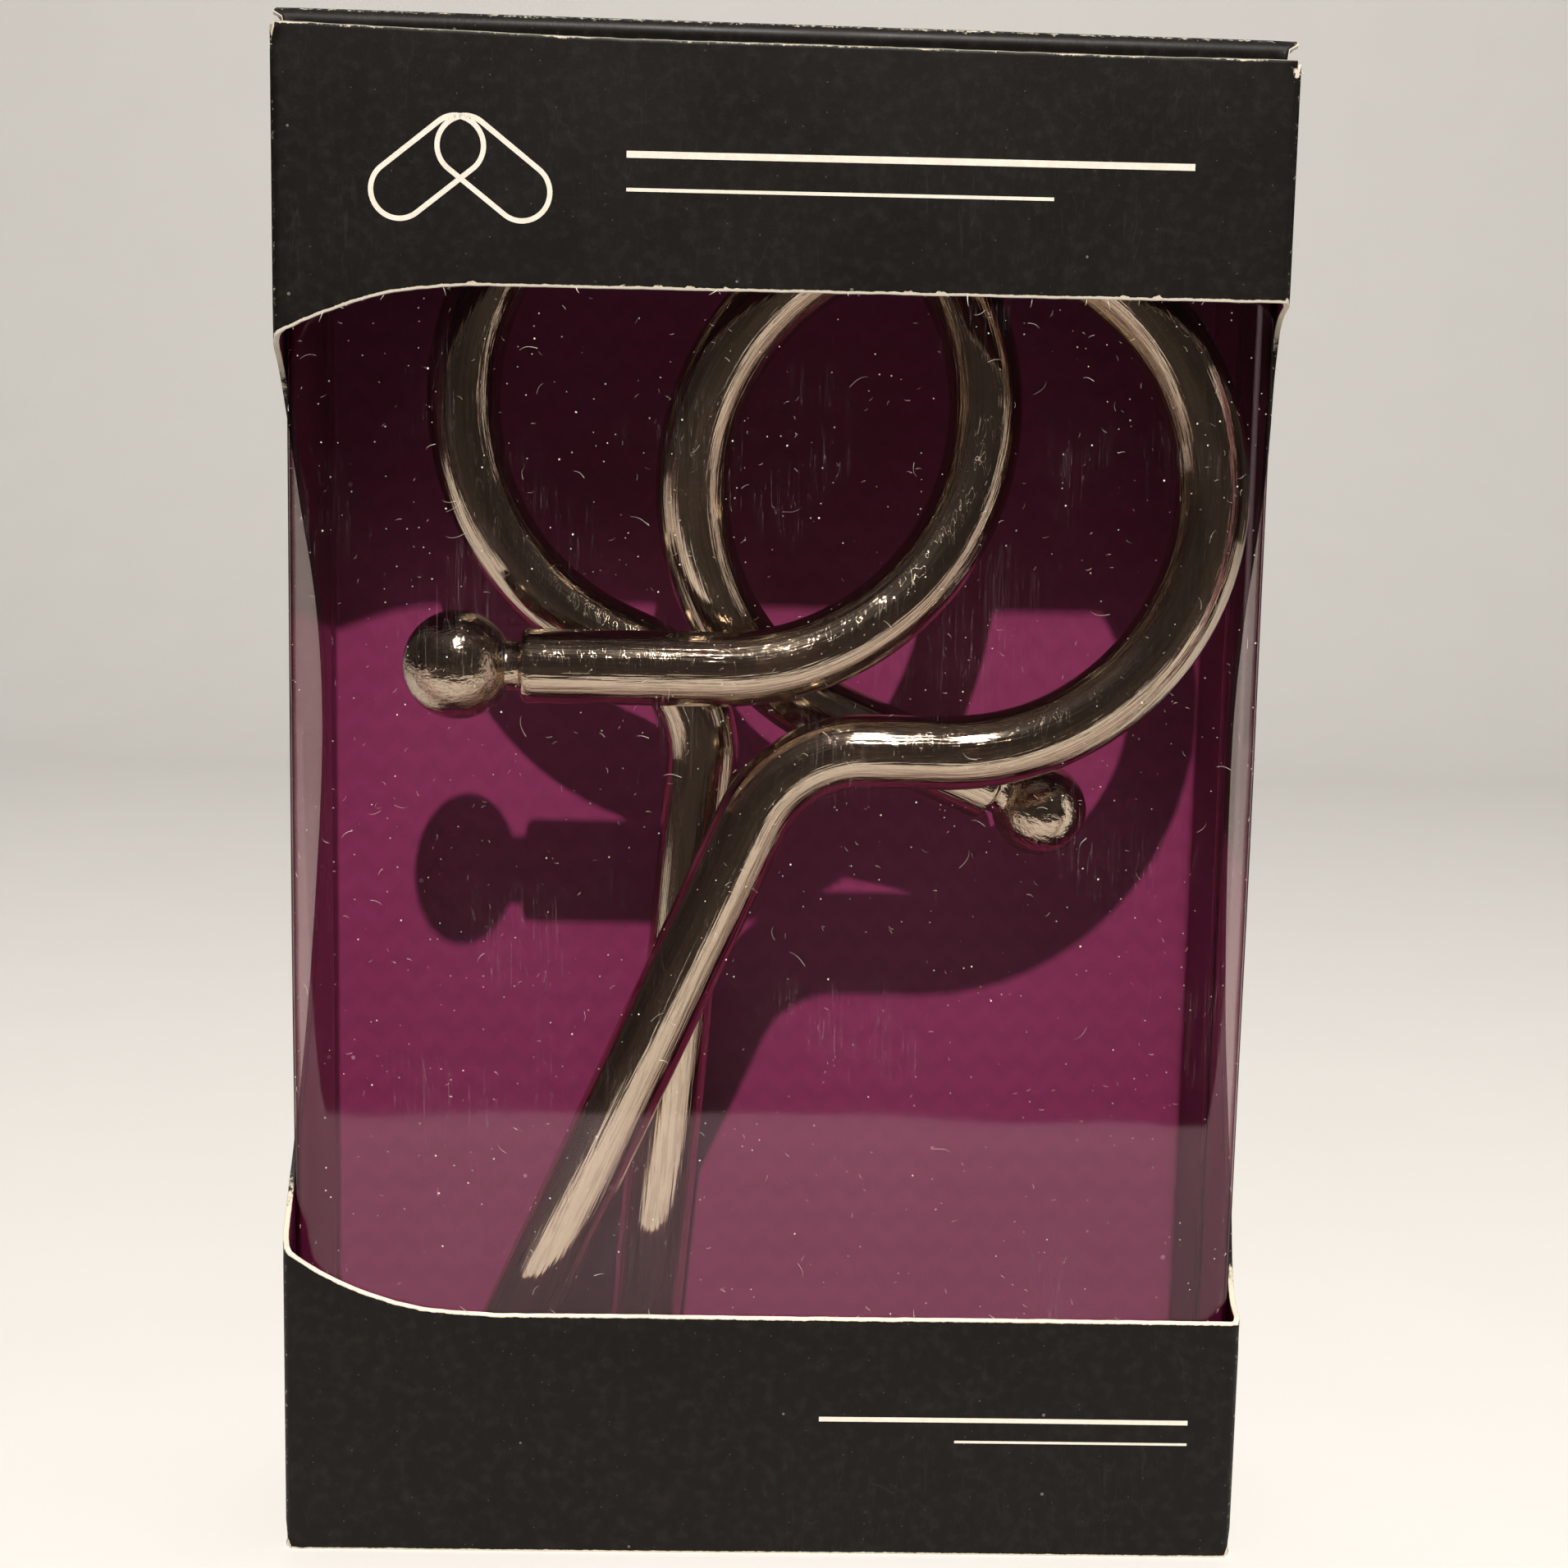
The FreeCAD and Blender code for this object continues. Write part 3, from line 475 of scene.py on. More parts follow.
def inside(poly, pts):
    poly, pts = np.array(poly), np.array(pts)
    x, y = pts[:, 0], pts[:, 1]
    res = np.zeros(len(pts), bool)
    j = len(poly) - 1
    for i in range(len(poly)):
        xi, yi = poly[i]
        xj, yj = poly[j]
        hit = ((yi > y) != (yj > y))
        with np.errstate(divide="ignore", invalid="ignore"):
            xc = (xj - xi) * (y - yi) / (yj - yi) + xi
        res ^= hit & (x < xc)
        j = i
    return res


def dist_to_loop(pts, loop):
    pts, a = np.array(pts), np.array(loop)
    b = np.roll(a, -1, 0)
    best = np.full(len(pts), 1e9)
    for p, q in zip(a, b):
        d = q - p
        L = max(d @ d, 1e-12)
        t = np.clip(((pts - p) @ d) / L, 0, 1)
        best = np.minimum(best, np.linalg.norm(pts - (p + t[:, None] * d), axis=1))
    return best


def offset_loop(loop, dist):
    """Loop moved to its left by dist (into the sheet)."""
    a = np.array(loop)
    prev, nxt = np.roll(a, 1, 0), np.roll(a, -1, 0)
    d1, d2 = a - prev, nxt - a
    d1 /= np.maximum(np.linalg.norm(d1, axis=1)[:, None], 1e-9)
    d2 /= np.maximum(np.linalg.norm(d2, axis=1)[:, None], 1e-9)
    n1 = np.stack([-d1[:, 1], d1[:, 0]], 1)
    n2 = np.stack([-d2[:, 1], d2[:, 0]], 1)
    m_ = n1 + n2
    m_ /= np.maximum(np.linalg.norm(m_, axis=1)[:, None], 1e-9)
    k = 1.0 / np.maximum((m_ * n1).sum(1), 0.5)
    return a + m_ * (dist * k)[:, None]


def area(loop):
    a = np.array(loop)
    b = np.roll(a, -1, 0)
    return 0.5 * float((a[:, 0] * b[:, 1] - b[:, 0] * a[:, 1]).sum())


def sheet_piece(name, loops, columns, rows, place, thickness, mats, fold_wear_and_painted_film_edge=None,
                edge_wear=1.0, chamfer=0.07, ring=0.32, jag=0.05, skip=None,
                rim_mat=None, rim_wear=None, both=False):
    """A flat-cut sheet laid onto a surface. loops: the outline, then holes, in (u, v) mm.
    place(u, v, depth) gives the 3-D point at a depth below the outer face."""
    fixed = []
    for i, loop in enumerate(loops):
        if (area(loop) > 0) != (i == 0):
            loop = loop[::-1]
        arr = np.array(loop, float)
        # the knife's edge is slightly fibrous
        if jag:
            off = [jag * (noise.noise(Vector((u * 1.7, v * 1.7, 3.1 * i))) +
                          0.6 * noise.noise(Vector((u * 5.1, v * 5.1, 9.0)))) for u, v in arr]
            keep = np.array([1.0 if (skip is None or not skip(u, v)) else 0.0 for u, v in arr])
            moved = offset_loop(arr, 1.0) - arr
            arr = arr + moved * (np.array(off) * keep)[:, None]
        fixed.append(arr)
    verts2, edges, kind = [], [], []
    rims = []
    for arr in fixed:
        base = len(verts2)
        inner = offset_loop(arr, chamfer)
        ring_pts = offset_loop(arr, ring)
        k = len(arr)
        verts2 += [Vector(p) for p in inner]
        edges += [(base + i, base + (i + 1) % k) for i in range(k)]
        kind += [1] * k
        rims.append((base, arr))
        rb = len(verts2)
        verts2 += [Vector(p) for p in ring_pts]
        kind += [2] * k
    grid = [(u, v) for u in columns for v in rows]
    ok = inside(fixed[0], grid)
    for arr in fixed[1:]:
        ok &= ~inside(arr, grid)
    for arr in fixed:
        ok &= dist_to_loop(grid, arr) > ring + 0.28
    verts2 += [Vector(g) for g, k in zip(grid, ok) if k]
    kind += [0] * int(ok.sum())
    res = delaunay_2d_cdt(verts2, edges, [], 0, 1e-5)
    vo, fo, origin = res[0], res[2], res[3]
    pts = np.array([tuple(v) for v in vo])
    tri = [f for f in fo if len(f) == 3]
    cen = np.array([(pts[f[0]] + pts[f[1]] + pts[f[2]]) / 3 for f in tri])
    rim_loops = [np.array([tuple(verts2[b + i]) for i in range(len(arr))]) for b, arr in rims]
    good = inside(rim_loops[0], cen)
    for arr in rim_loops[1:]:
        good &= ~inside(arr, cen)
    tri = [f for f, g in zip(tri, good) if g]
    new_of = {}
    for i, src in enumerate(origin):
        for s_ in src:
            new_of[s_] = i
    used = sorted({i for f in tri for i in f} |
                  {new_of[b + i] for b, arr in rims for i in range(len(arr))})
    index = {v: i for i, v in enumerate(used)}
    kinds = {i: min((kind[s_] for s_ in origin[i]), default=0) if origin[i] else 0 for i in used}
    for i in used:
        ks = [kind[s_] for s_ in origin[i]]
        kinds[i] = 1 if 1 in ks else (2 if 2 in ks else 0)
    nu = len(used)
    verts, wear_and_painted_film_edge = [], []

    def edge_value(u, v):
        if rim_wear is not None:
            return rim_wear(u, v)
        return edge_wear if rim_mat is None or rim_mat(u, v) == 2 else 0.10

    for side_, depth in ((0, 0.0), (1, thickness)):
        for i in used:
            u, v = pts[i]
            verts.append(place(u, v, depth))
            w_ = edge_value(u, v) if kinds[i] == 1 else 0.0
            # for the window film the fold value is its turn round the corner, which places its painted dark line and
            # painted mauve reflection
            if fold_wear_and_painted_film_edge is not None and (both or not side_):
                w_ = max(w_, fold_wear_and_painted_film_edge(u, v))
            wear_and_painted_film_edge.append(w_ if both or not side_ else w_ * 0.6)
    faces, fm = [], []
    for f in tri:
        a, b, c = (index[f[0]], index[f[1]], index[f[2]])
        pa, pb, pc = pts[f[0]], pts[f[1]], pts[f[2]]
        ccw = (pb[0] - pa[0]) * (pc[1] - pa[1]) - (pb[1] - pa[1]) * (pc[0] - pa[0]) > 0
        if not ccw:
            b, c = c, b
        faces.append((a, b, c))
        fm.append(0)
        faces.append((nu + a, nu + c, nu + b))
        fm.append(1)
    for base, arr in rims:
        k = len(arr)
        top = [index[new_of[base + i]] for i in range(k)]
        s0 = len(verts)
        for depth in (min(chamfer * 0.7, thickness * 0.3), thickness - min(chamfer * 0.5, thickness * 0.3)):
            for u, v in arr:
                verts.append(place(u, v, depth))
                wear_and_painted_film_edge.append(fold_wear_and_painted_film_edge(u, v) if both else edge_value(u, v))
        for i in range(k):
            j = (i + 1) % k
            rim = 2 if rim_mat is None else rim_mat(*arr[i])
            faces.append((top[j], top[i], s0 + i, s0 + j))
            fm.append(rim)
            faces.append((s0 + j, s0 + i, s0 + k + i, s0 + k + j))
            fm.append(rim)
            faces.append((s0 + k + j, s0 + k + i, nu + top[i], nu + top[j]))
            fm.append(rim)
    ob = obj_from(name, verts, faces, mats, fm, wear_and_painted_film_edge)
    # faces must look outwards, whatever way the surface runs
    import bmesh
    bm = bmesh.new()
    bm.from_mesh(ob.data)
    bmesh.ops.recalc_face_normals(bm, faces=bm.faces)
    bm.to_mesh(ob.data)
    bm.free()
    return ob


def steps(a, b, step):
    k = max(1, int(math.ceil((b - a) / step)))
    return [a + (b - a) * i / k for i in range(k + 1)]


# ------------------------------------------------------------------ the folded wrap
Q = math.pi / 2 * R
U1 = D - R                       # right side, from its raw rear edge forwards
U2 = U1 + Q
U3 = U2 + W - 2 * R
U4 = U3 + Q
U5 = U4 + D - 2 * R
U6 = U5 + Q
U7 = U6 + (W - R) - (T + 0.03) - R
U8 = U7 + Q
U9 = U8 + 10.3 - R


def wrap_point(u):
    """Outer point and outward normal in plan, at distance u round the carton."""
    hw = W / 2
    if u <= U1:
        return (hw, Y1 - u), (1, 0)
    if u <= U2:
        a = (u - U1) / R
        return (hw - R + R * math.cos(a), Y0 + R - R * math.sin(a)), (math.cos(a), -math.sin(a))
    if u <= U3:
        return (hw - R - (u - U2), Y0), (0, -1)
    if u <= U4:
        a = (u - U3) / R
        return (-hw + R - R * math.sin(a), Y0 + R - R * math.cos(a)), (-math.sin(a), -math.cos(a))
    if u <= U5:
        return (-hw, Y0 + R + (u - U4)), (-1, 0)
    if u <= U6:
        a = (u - U5) / R
        return (-hw + R - R * math.cos(a), Y1 - R + R * math.sin(a)), (-math.cos(a), math.sin(a))
    if u <= U7:
        return (-hw + R + (u - U6), Y1), (0, 1)
    if u <= U8:
        a = (u - U7) / R
        cx = -hw + R + (U7 - U6)
        return (cx + R * math.sin(a), Y1 - R + R * math.cos(a)), (math.sin(a), math.cos(a))
    return (-hw + R + (U7 - U6) + R, Y1 - R - (u - U8)), (1, 0)


LIFT = [(-42.0, 1.25), (-26.0, 0.82), (-13.7, 0.50), (2.9, 0.40), (26.0, 0.14), (42.0, 0.10)]


def front_lift(x):
    return float(np.interp(x, [a for a, b in LIFT], [b for a, b in LIFT]))


def wrap_place(u, v, depth):
    (x, y), (nx, ny) = wrap_point(u)
    if v > 122.0 and U1 < u < U4 + 2.0:
        t = (v - 122.0) / 7.0
        side_ = min(1.0, (u - U1) / Q, (U4 + 2.0 - u) / 2.0)
        v += front_lift(x) * t * t * (3 - 2 * min(t, 1.0)) * max(0.0, side_)
    # board is never dead flat: a slow wave, still at the folds and near the seam
    flat = 1.0
    for f in (U1 + Q / 2, U3 + Q / 2, U5 + Q / 2, U7 + Q / 2):
        flat = min(flat, max(0.0, (abs(u - f) - 1.0) / 6.0))
    if u < 3:
        flat = min(flat, u / 3)
    if u > U8 - 1:
        flat = 0.0
    wave = 0.10 * flat * (noise.noise(Vector((u * 0.045, v * 0.05, 1.7))) - 0.35)
    k = wave - depth
    return (x + nx * k, y + ny * k, v)


def u_left(depth):
    mid = U3 + Q / 2
    return U4 + depth - R if depth >= R else mid + (U4 - mid) * depth / R


def u_right(depth):
    mid = U1 + Q / 2
    return U1 - (depth - R) if depth >= R else mid - (mid - U1) * depth / R


def u_front(x):
    hw = W / 2
    if x < -hw + R:
        return U3 + (Q / 2) * (-hw + R - x) / R
    if x > hw - R:
        return U2 - (Q / 2) * (x - hw + R) / R
    return U2 + (hw - R - x)


LEFT_CUT = [(0.0, 105.3), (2.9, 102.6), (5.8, 98.6), (11.0, 90.9), (16.0, 84.2),
            (19.0, 77.6), (19.9, 71.5), (18.9, 64.4), (15.6, 54.6), (10.8, 44.4),
            (5.6, 35.9), (2.4, 31.0), (0.0, 27.6)]
RIGHT_CUT = [(0.0, 109.7), (3.0, 108.3), (4.5, 104.6), (5.6, 97.0), (8.0, 90.2),
             (11.2, 82.8), (13.3, 75.0), (13.6, 67.0), (12.9, 56.0), (11.2, 46.2),
             (8.5, 38.4), (5.7, 31.0), (4.2, 25.6), (2.8, 23.0), (0.0, 21.8)]
header_curve = spline([(-42.0, 105.3), (-37.7, 107.25), (-32.4, 108.95), (-26.0, 109.7)], 26)
footer_curve = spline([(-23.5, 21.8), (-30.9, 22.5), (-37.4, 24.8), (-42.0, 27.6)], 26)
window = []
window += [(u_front(x), z) for x, z in resample([(42.0, 109.7), (-26.0, 109.7)], 0.9)]
window += [(u_front(x), z) for x, z in header_curve[::-1]]
window += [(u_left(d), z) for d, z in spline(LEFT_CUT, 120)[1:-1]]
window += [(u_front(x), z) for x, z in footer_curve[::-1]]
window += [(u_front(x), z) for x, z in resample([(-23.5, 21.8), (42.0, 21.8)], 0.9)[1:]]
window += [(u_right(d), z) for d, z in spline(RIGHT_CUT, 120)[::-1][:-1]]

g = 0.25
corners = [(0, 0), (U1 + Q / 2 - g, 0), (U1 + Q / 2, 0.5), (U1 + Q / 2 + g, 0),
           (U3 + Q / 2 - g, 0), (U3 + Q / 2, 0.5), (U3 + Q / 2 + g, 0),
           (U5 + Q / 2 - g, 0), (U5 + Q / 2, 0.5), (U5 + Q / 2 + g, 0), (U7, 0),
           (U8, 1.8), (U9, 7.6), (U9, 122.2), (U8, 128.0), (U7, BACK_H),
           (U5 + Q / 2 + g, BACK_H), (U5 + Q / 2, SIDE_H - 0.6), (U5 + Q / 2 - g, SIDE_H),
           (U3 + Q / 2 + g, SIDE_H), (U3 + Q / 2, SIDE_H - 0.5), (U3 + Q / 2 - g, H),
           (U1 + Q / 2 + g, H), (U1 + Q / 2, SIDE_H - 0.5), (U1 + Q / 2 - g, SIDE_H),
           (0, SIDE_H), (0, 0)]
outline = resample(corners, 0.9)
cols = []
for a, b, st in ((0, U1, 2.6), (U1, U2, Q / 8), (U2, U3, 2.6), (U3, U4, Q / 8), (U4, U5, 2.6),
                 (U5, U6, Q / 8), (U6, U7, 2.6), (U7, U8, Q / 8), (U8, U9, 2.6)):
    cols += steps(a, b, st)[:-1]
cols.append(U9)
rows_ = steps(0, BACK_H, 2.4)


def wrap_wear(u, v):
    w_ = 0.0
    for f in (U1 + Q / 2, U3 + Q / 2, U5 + Q / 2):
        w_ = max(w_, 0.36 * max(0.0, 1 - abs(u - f) / 0.8))
    if U1 < u < U4 and v > H - 0.4:
        w_ = max(w_, 0.14 + 0.24 * noise.noise(Vector((u * 0.25, 3.0, 5.0))))
    return w_


def wrap_rim(u, v):
    """Which material each cut edge takes: black where the sheet carries on into the lid, and black on the side
    cut-outs' edges as painted shade; a darker copy of the cut-edge colour along the header's top.
    """
    if u > U5 + 1.0 and v > BACK_H - 1.0:
        return 0
    if U1 < u < U4 and v > H - 0.6:
        return 3
    # the edges of both side cut-outs take the black print: painted shade
    if U3 + Q * 0.6 < u < U5 and 27.9 < v < 105.0:
        return 0
    if 3.0 < u < U1 + Q * 0.4 and 22.1 < v < 109.4:
        return 0
    return 1 if u > U7 + 0.3 else 2


def wrap_rim_wear(u, v):
    """Bare board at the front corners of the side cut-outs, fading as they run back into their black edges, which
    are painted shade.
    """
    if v > H - 0.6 and U1 < u < U4:
        return 0.44 + 0.40 * noise.noise(Vector((u * 0.22, 7.0, 2.0)))
    if wrap_rim(u, v) == 2:
        return 0.82
    k = 0.0
    if U3 + Q * 0.6 < u < U5:
        k = max(1 - (105.3 - v) / 7.0, 1 - (v - 27.6) / 8.0, 0.0)
    elif 3.0 < u < U1 + Q * 0.4:
        k = max(1 - (109.7 - v) / 5.5, 1 - (v - 21.8) / 6.5, 0.0)
    return 0.12 + 0.68 * k


wrap = sheet_piece("carton_wrap", [outline, window], cols, rows_, wrap_place, T,
                   [BLACK, MAGENTA, CORE, DARKER_CORE], wrap_wear, 0.82,
                   rim_mat=wrap_rim, rim_wear=wrap_rim_wear)
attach(wrap, "carton")
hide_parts("header_front", "footer_front", "side_panel_left", "side_panel_right",
            "back_panel", "glue_flap")

# ------------------------------------------------------------------ window film
FR = 3.4
fo = W / 2 - T - 0.03
fy = Y0 + T + 0.03
FA = (21.3 - T) - FR             # left straight
FB = (13.7 - T) - FR             # right straight
fq = math.pi / 2 * FR
F1 = FA
F2 = F1 + fq
F3 = F2 + 2 * fo - 2 * FR
F4 = F3 + fq
F5 = F4 + FB


def film_place(u, v, depth):
    if u <= F1:
        x, y, nx, ny = -fo, fy + FR + (F1 - u), -1, 0
    elif u <= F2:
        a = (u - F1) / FR
        x, y = -fo + FR - FR * math.cos(a), fy + FR - FR * math.sin(a)
        nx, ny = -math.cos(a), -math.sin(a)
    elif u <= F3:
        x, y, nx, ny = -fo + FR + (u - F2), fy, 0, -1
    elif u <= F4:
        a = (u - F3) / FR
        x, y = fo - FR + FR * math.sin(a), fy + FR - FR * math.cos(a)
        nx, ny = math.sin(a), -math.cos(a)
    else:
        x, y, nx, ny = fo, fy + FR + (u - F4), 1, 0
    # the film bows out a little where no card backs it, and ripples slightly
    mid = max(0.0, math.sin(math.pi * min(1, max(0, (v - 22) / 88.0))))
    front = max(0.0, 1 - abs((u - (F2 + F3) / 2) / ((F3 - F2) / 2 + 0.01)) ** 3)
    bow = 0.22 * mid * (0.35 + 0.65 * front)
    rip = 0.07 * noise.noise(Vector((u * 0.09, v * 0.035, 4.0))) * mid
    k = bow + rip - depth
    return (x + nx * k, y + ny * k, v)


film_loop = resample([(0, 14.2), (F5, 14.2), (F5, 117.8), (0, 117.8), (0, 14.2)], 1.5)
fcols = steps(0, F1, 2.0) + steps(F1, F2, fq / 14)[1:] + steps(F2, F3, 2.2)[1:] + \
    steps(F3, F4, fq / 14)[1:] + steps(F4, F5, 2.0)[1:]


def film_turn(u, v):
    """0 on the front, rising to 1 round each corner, 1.5 along the sides."""
    if F1 <= u <= F2:
        return (F2 - u) / fq
    if F3 <= u <= F4:
        return (u - F3) / fq
    return 0.0 if F2 < u < F3 else 1.5


# the turn goes in as the fold value and places the film's painted dark line and painted mauve reflection
film = sheet_piece("window_film_sheet", [film_loop], fcols, steps(14.2, 117.8, 2.2), film_place,
                   0.18, [FILM, FILM, FILM], film_turn, 0.0, chamfer=0.02, ring=0.3, jag=0.0,
                   both=True)
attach(film, "carton")
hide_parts("window_film")

# ------------------------------------------------------------------ lid and tuck flap
LID_TOP = 130.2
LR = 1.15                        # radius of the front fold
lean = math.radians(13.0)
ly = Y0 + 0.7                    # outer face of the tuck flap at the fold
LK = 0.55                        # radius of the rear fold
lk = math.pi / 2 * LK
LA = 24.3 - LR - LK + lk         # rear fold and flat top
lq = (math.pi / 2 + lean) * LR
LB = 8.3


hw = 41.85


def lid_place(u, v, depth):
    """u runs from the rear edge over the top, round the front fold and down the flap."""
    cy, cz = ly + LR, LID_TOP - LR
    if u <= lk:
        ny, nz = math.cos(u / LK), math.sin(u / LK)
        y, z = Y1 - LK + LK * ny, LID_TOP - LK + LK * nz
    elif u <= LA:
        y, z, ny, nz = Y1 - LK - (u - lk), LID_TOP, 0.0, 1.0
    elif u <= LA + lq:
        a = (u - LA) / LR
        ny, nz = -math.sin(a), math.cos(a)
        y, z = cy + LR * ny, cz + LR * nz
    else:
        a = math.pi / 2 + lean
        ny, nz = -math.sin(a), math.cos(a)
        y, z = cy + LR * ny, cz + LR * nz
        run = u - LA - lq
        y, z = y + run * math.sin(lean), z - run * math.cos(lean)
    rise = float(np.interp(v, [-hw, hw], [1.45, 0.70]))
    t = min(1.0, max(0.0, (u - 4.0) / (LA - 4.0)))
    z += rise * t * t * (3 - 2 * t)
    flat = min(1.0, max(0.0, (LA - u) / 5.0)) * min(1.0, u / 4.0)
    k = -depth + 0.06 * flat * (noise.noise(Vector((u * 0.06, v * 0.04, 8.0))) - 0.5)
    return (v, y + ny * k, z + nz * k)


tw = 39.4
lt = LA + lq + LB
lid_loop = [(0, -hw)] + [(LA, -hw), (LA + lq * 0.5, -hw + 0.1), (LA + lq * 0.75, -41.0), (LA + lq + 0.6, -40.9), (LA + lq + 2.6, -tw)]
cr = 3.5
lid_loop += [(lt - cr + cr * math.sin(a), -tw + cr - cr * math.cos(a)) for a in
             [math.pi / 2 * i / 8 for i in range(9)]]
lid_loop += [(u, -v) for u, v in lid_loop[::-1]]
lid_loop.append(lid_loop[0])
lcols = steps(0, lk, lk / 6) + steps(lk, LA, 2.2)[1:] + steps(LA, LA + lq, lq / 12)[1:] + steps(LA + lq, lt, 2.0)[1:]


def lid_wear(u, v):
    w_ = 0.42 * max(0.0, 1 - abs(u - (LA + lq * 0.30)) / 1.0)
    return max(w_, 0.16 * max(0.0, 1 - u / 1.6))


lid = sheet_piece("lid_and_tuck_flap", [resample(lid_loop, 0.9)], lcols, steps(-hw, hw, 2.3), lid_place,
                  T - 0.04, [BLACK, MAGENTA, CORE], lid_wear, 0.35,
                  rim_mat=lambda u, v: 0 if u < 0.4 and abs(v) < 41.6 else 2)
# the direction leans forwards, so that the lid's rear edge stays wholly on the lid
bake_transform(lid)
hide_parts("top_lid", "tuck_flap")


# ------------------------------------------------------------------ lid crease
def crease_place(u, v, depth):
    """The crease between back panel and lid: u from the panel up and over."""
    r = 0.55
    cy, cz = Y1 - r, LID_TOP - r
    if u <= 0.5:
        y, z, ny, nz = Y1, cz - 0.5 + u, 1.0, 0.0
    elif u <= 0.5 + math.pi / 2 * r:
        a = (u - 0.5) / r
        ny, nz = math.cos(a), math.sin(a)
        y, z = cy + r * ny, cz + r * nz
    else:
        y, z, ny, nz = cy - (u - 0.5 - math.pi / 2 * r), LID_TOP, 0.0, 1.0
    k = 0.035 - depth
    return (v, y + ny * k, z + nz * k)


cl = 0.5 + math.pi / 2 * 0.55 + 0.5
crease = sheet_piece("lid_crease", [resample([(0, -41.6), (cl, -41.6), (cl, 41.6), (0, 41.6), (0, -41.6)], 0.8)],
                     steps(0, cl, cl / 10), steps(-41.6, 41.6, 2.5), crease_place, 0.25,
                     [BLACK, MAGENTA, CORE],
                     lambda u, v: 0.20 + 0.22 * noise.noise(Vector((v * 0.35, 1.0, 6.0))), 0.1,
                     chamfer=0.03, ring=0.2, jag=0.02, rim_mat=lambda u, v: 0)
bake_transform(crease)


# ------------------------------------------------------------------ dust flaps
def dust_flap(sign):
    DR = 0.5
    top = 129.4

    def place(u, v, depth):
        # u: up the last of the side panel, over the crease, then along the flap
        cx, cz = W / 2 - DR - 0.02, top - DR
        if u <= 0.1:
            x, z, nx, nz = W / 2 - 0.02, cz - 0.1 + u, 1.0, 0.0
        elif u <= 0.1 + math.pi / 2 * DR:
            a = (u - 0.1) / DR
            nx, nz = math.cos(a), math.sin(a)
            x, z = cx + DR * nx, cz + DR * nz
        else:
            x, z, nx, nz = cx - (u - 0.1 - math.pi / 2 * DR), top, 0.0, 1.0
        x, z = x - nx * depth * 0.9, z - nz * depth * 0.9
        # the flap springs up a little at its front, under the raised lid
        free = min(1.0, max(0.0, (u - 0.1 - math.pi / 2 * DR) / 4.0)) * min(1.0, max(0.0, (4.0 - v) / 14.0)) ** 2
        z += (0.95 if sign < 0 else 0.35) * free
        return (sign * x, v, z)

    a0 = 0.1 + math.pi / 2 * DR
    L = a0 + 16.4
    ya, yb = Y0 + 2.5, Y1 - T - 1.0
    loop = [(0, ya), (L - 2.0, ya), (L, ya + 2.0), (L, yb - 15.5), (L - 1.5, yb - 15.5), (a0, yb), (0, yb), (0, ya)]
    name = "dust_flap_%s_card" % ("left" if sign < 0 else "right")
    ob = sheet_piece(name, [resample(loop, 0.9)], steps(0, a0, a0 / 6) + steps(a0, L, 2.2)[1:],
                     steps(ya, yb, 2.2), place, T, [BLACK, MAGENTA, CORE], lambda u, v: 0.3 if u < a0 else 0.0)
    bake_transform(ob)
    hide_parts("dust_flap_left" if sign < 0 else "dust_flap_right")
    return ob


dust_flap(-1)
dust_flap(1)


# ------------------------------------------------------------------ floor
def flat_plate(name, loop, z_low, thickness, node, under_black=True):
    def place(u, v, depth):
        return (u, v, z_low + depth)
    us = [p[0] for p in loop]
    vs = [p[1] for p in loop]
    ob = sheet_piece(name, [resample(loop + [loop[0]], 0.9)], steps(min(us), max(us), 2.6),
                     steps(min(vs), max(vs), 2.6), place, thickness, [BLACK, MAGENTA, CORE],
                     None, 0.95)
    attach(ob, "carton")
    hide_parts(node)
    return ob


fw_ = W / 2 - T - 0.05
flat_plate("floor_panel_front_card",
           [(-fw_, Y0 + T), (fw_, Y0 + T), (fw_, 0), (17, 0), (15, 6), (-15, 6), (-17, 0), (-fw_, 0)],
           0.0, T, "floor_panel_front")
flat_plate("floor_panel_back_card",
           [(-fw_, 0.2), (-17.2, 0.2), (-15.2, 6.2), (15.2, 6.2), (17.2, 0.2), (fw_, 0.2), (fw_, Y1 - T), (-fw_, Y1 - T)],
           0.0, T, "floor_panel_back")
flat_plate("floor_flap_left_card",
           [(-41.4, -11.9), (-17.4, -8.9), (-17.4, 8.9), (-41.4, 11.9)], T + 0.01, T - 0.02, "floor_flap_left")
flat_plate("floor_flap_right_card",
           [(41.4, -11.9), (41.4, 11.9), (17.4, 8.9), (17.4, -8.9)], T + 0.01, T - 0.02, "floor_flap_right")


# ------------------------------------------------------------------ nails
def plan_path(start, heading, runs):
    segs = []
    x, z = start
    for run in runs:
        if run[0] == "run":
            segs.append(("run", (x, z), heading, run[1], 0.0))
            x += run[1] * math.cos(math.radians(heading))
            z += run[1] * math.sin(math.radians(heading))
        else:
            r, turn = run[1], run[2]
            sg = 1.0 if turn > 0 else -1.0
            nr = math.radians(heading + 90 * sg)
            cx, cz = x + r * math.cos(nr), z + r * math.sin(nr)
            segs.append(("turn", (cx, cz), heading, r * math.radians(abs(turn)), sg * r))
            heading += turn
            nr = math.radians(heading + 90 * sg)
            x, z = cx - r * math.cos(nr), cz - r * math.sin(nr)
    return segs, (x, z), heading


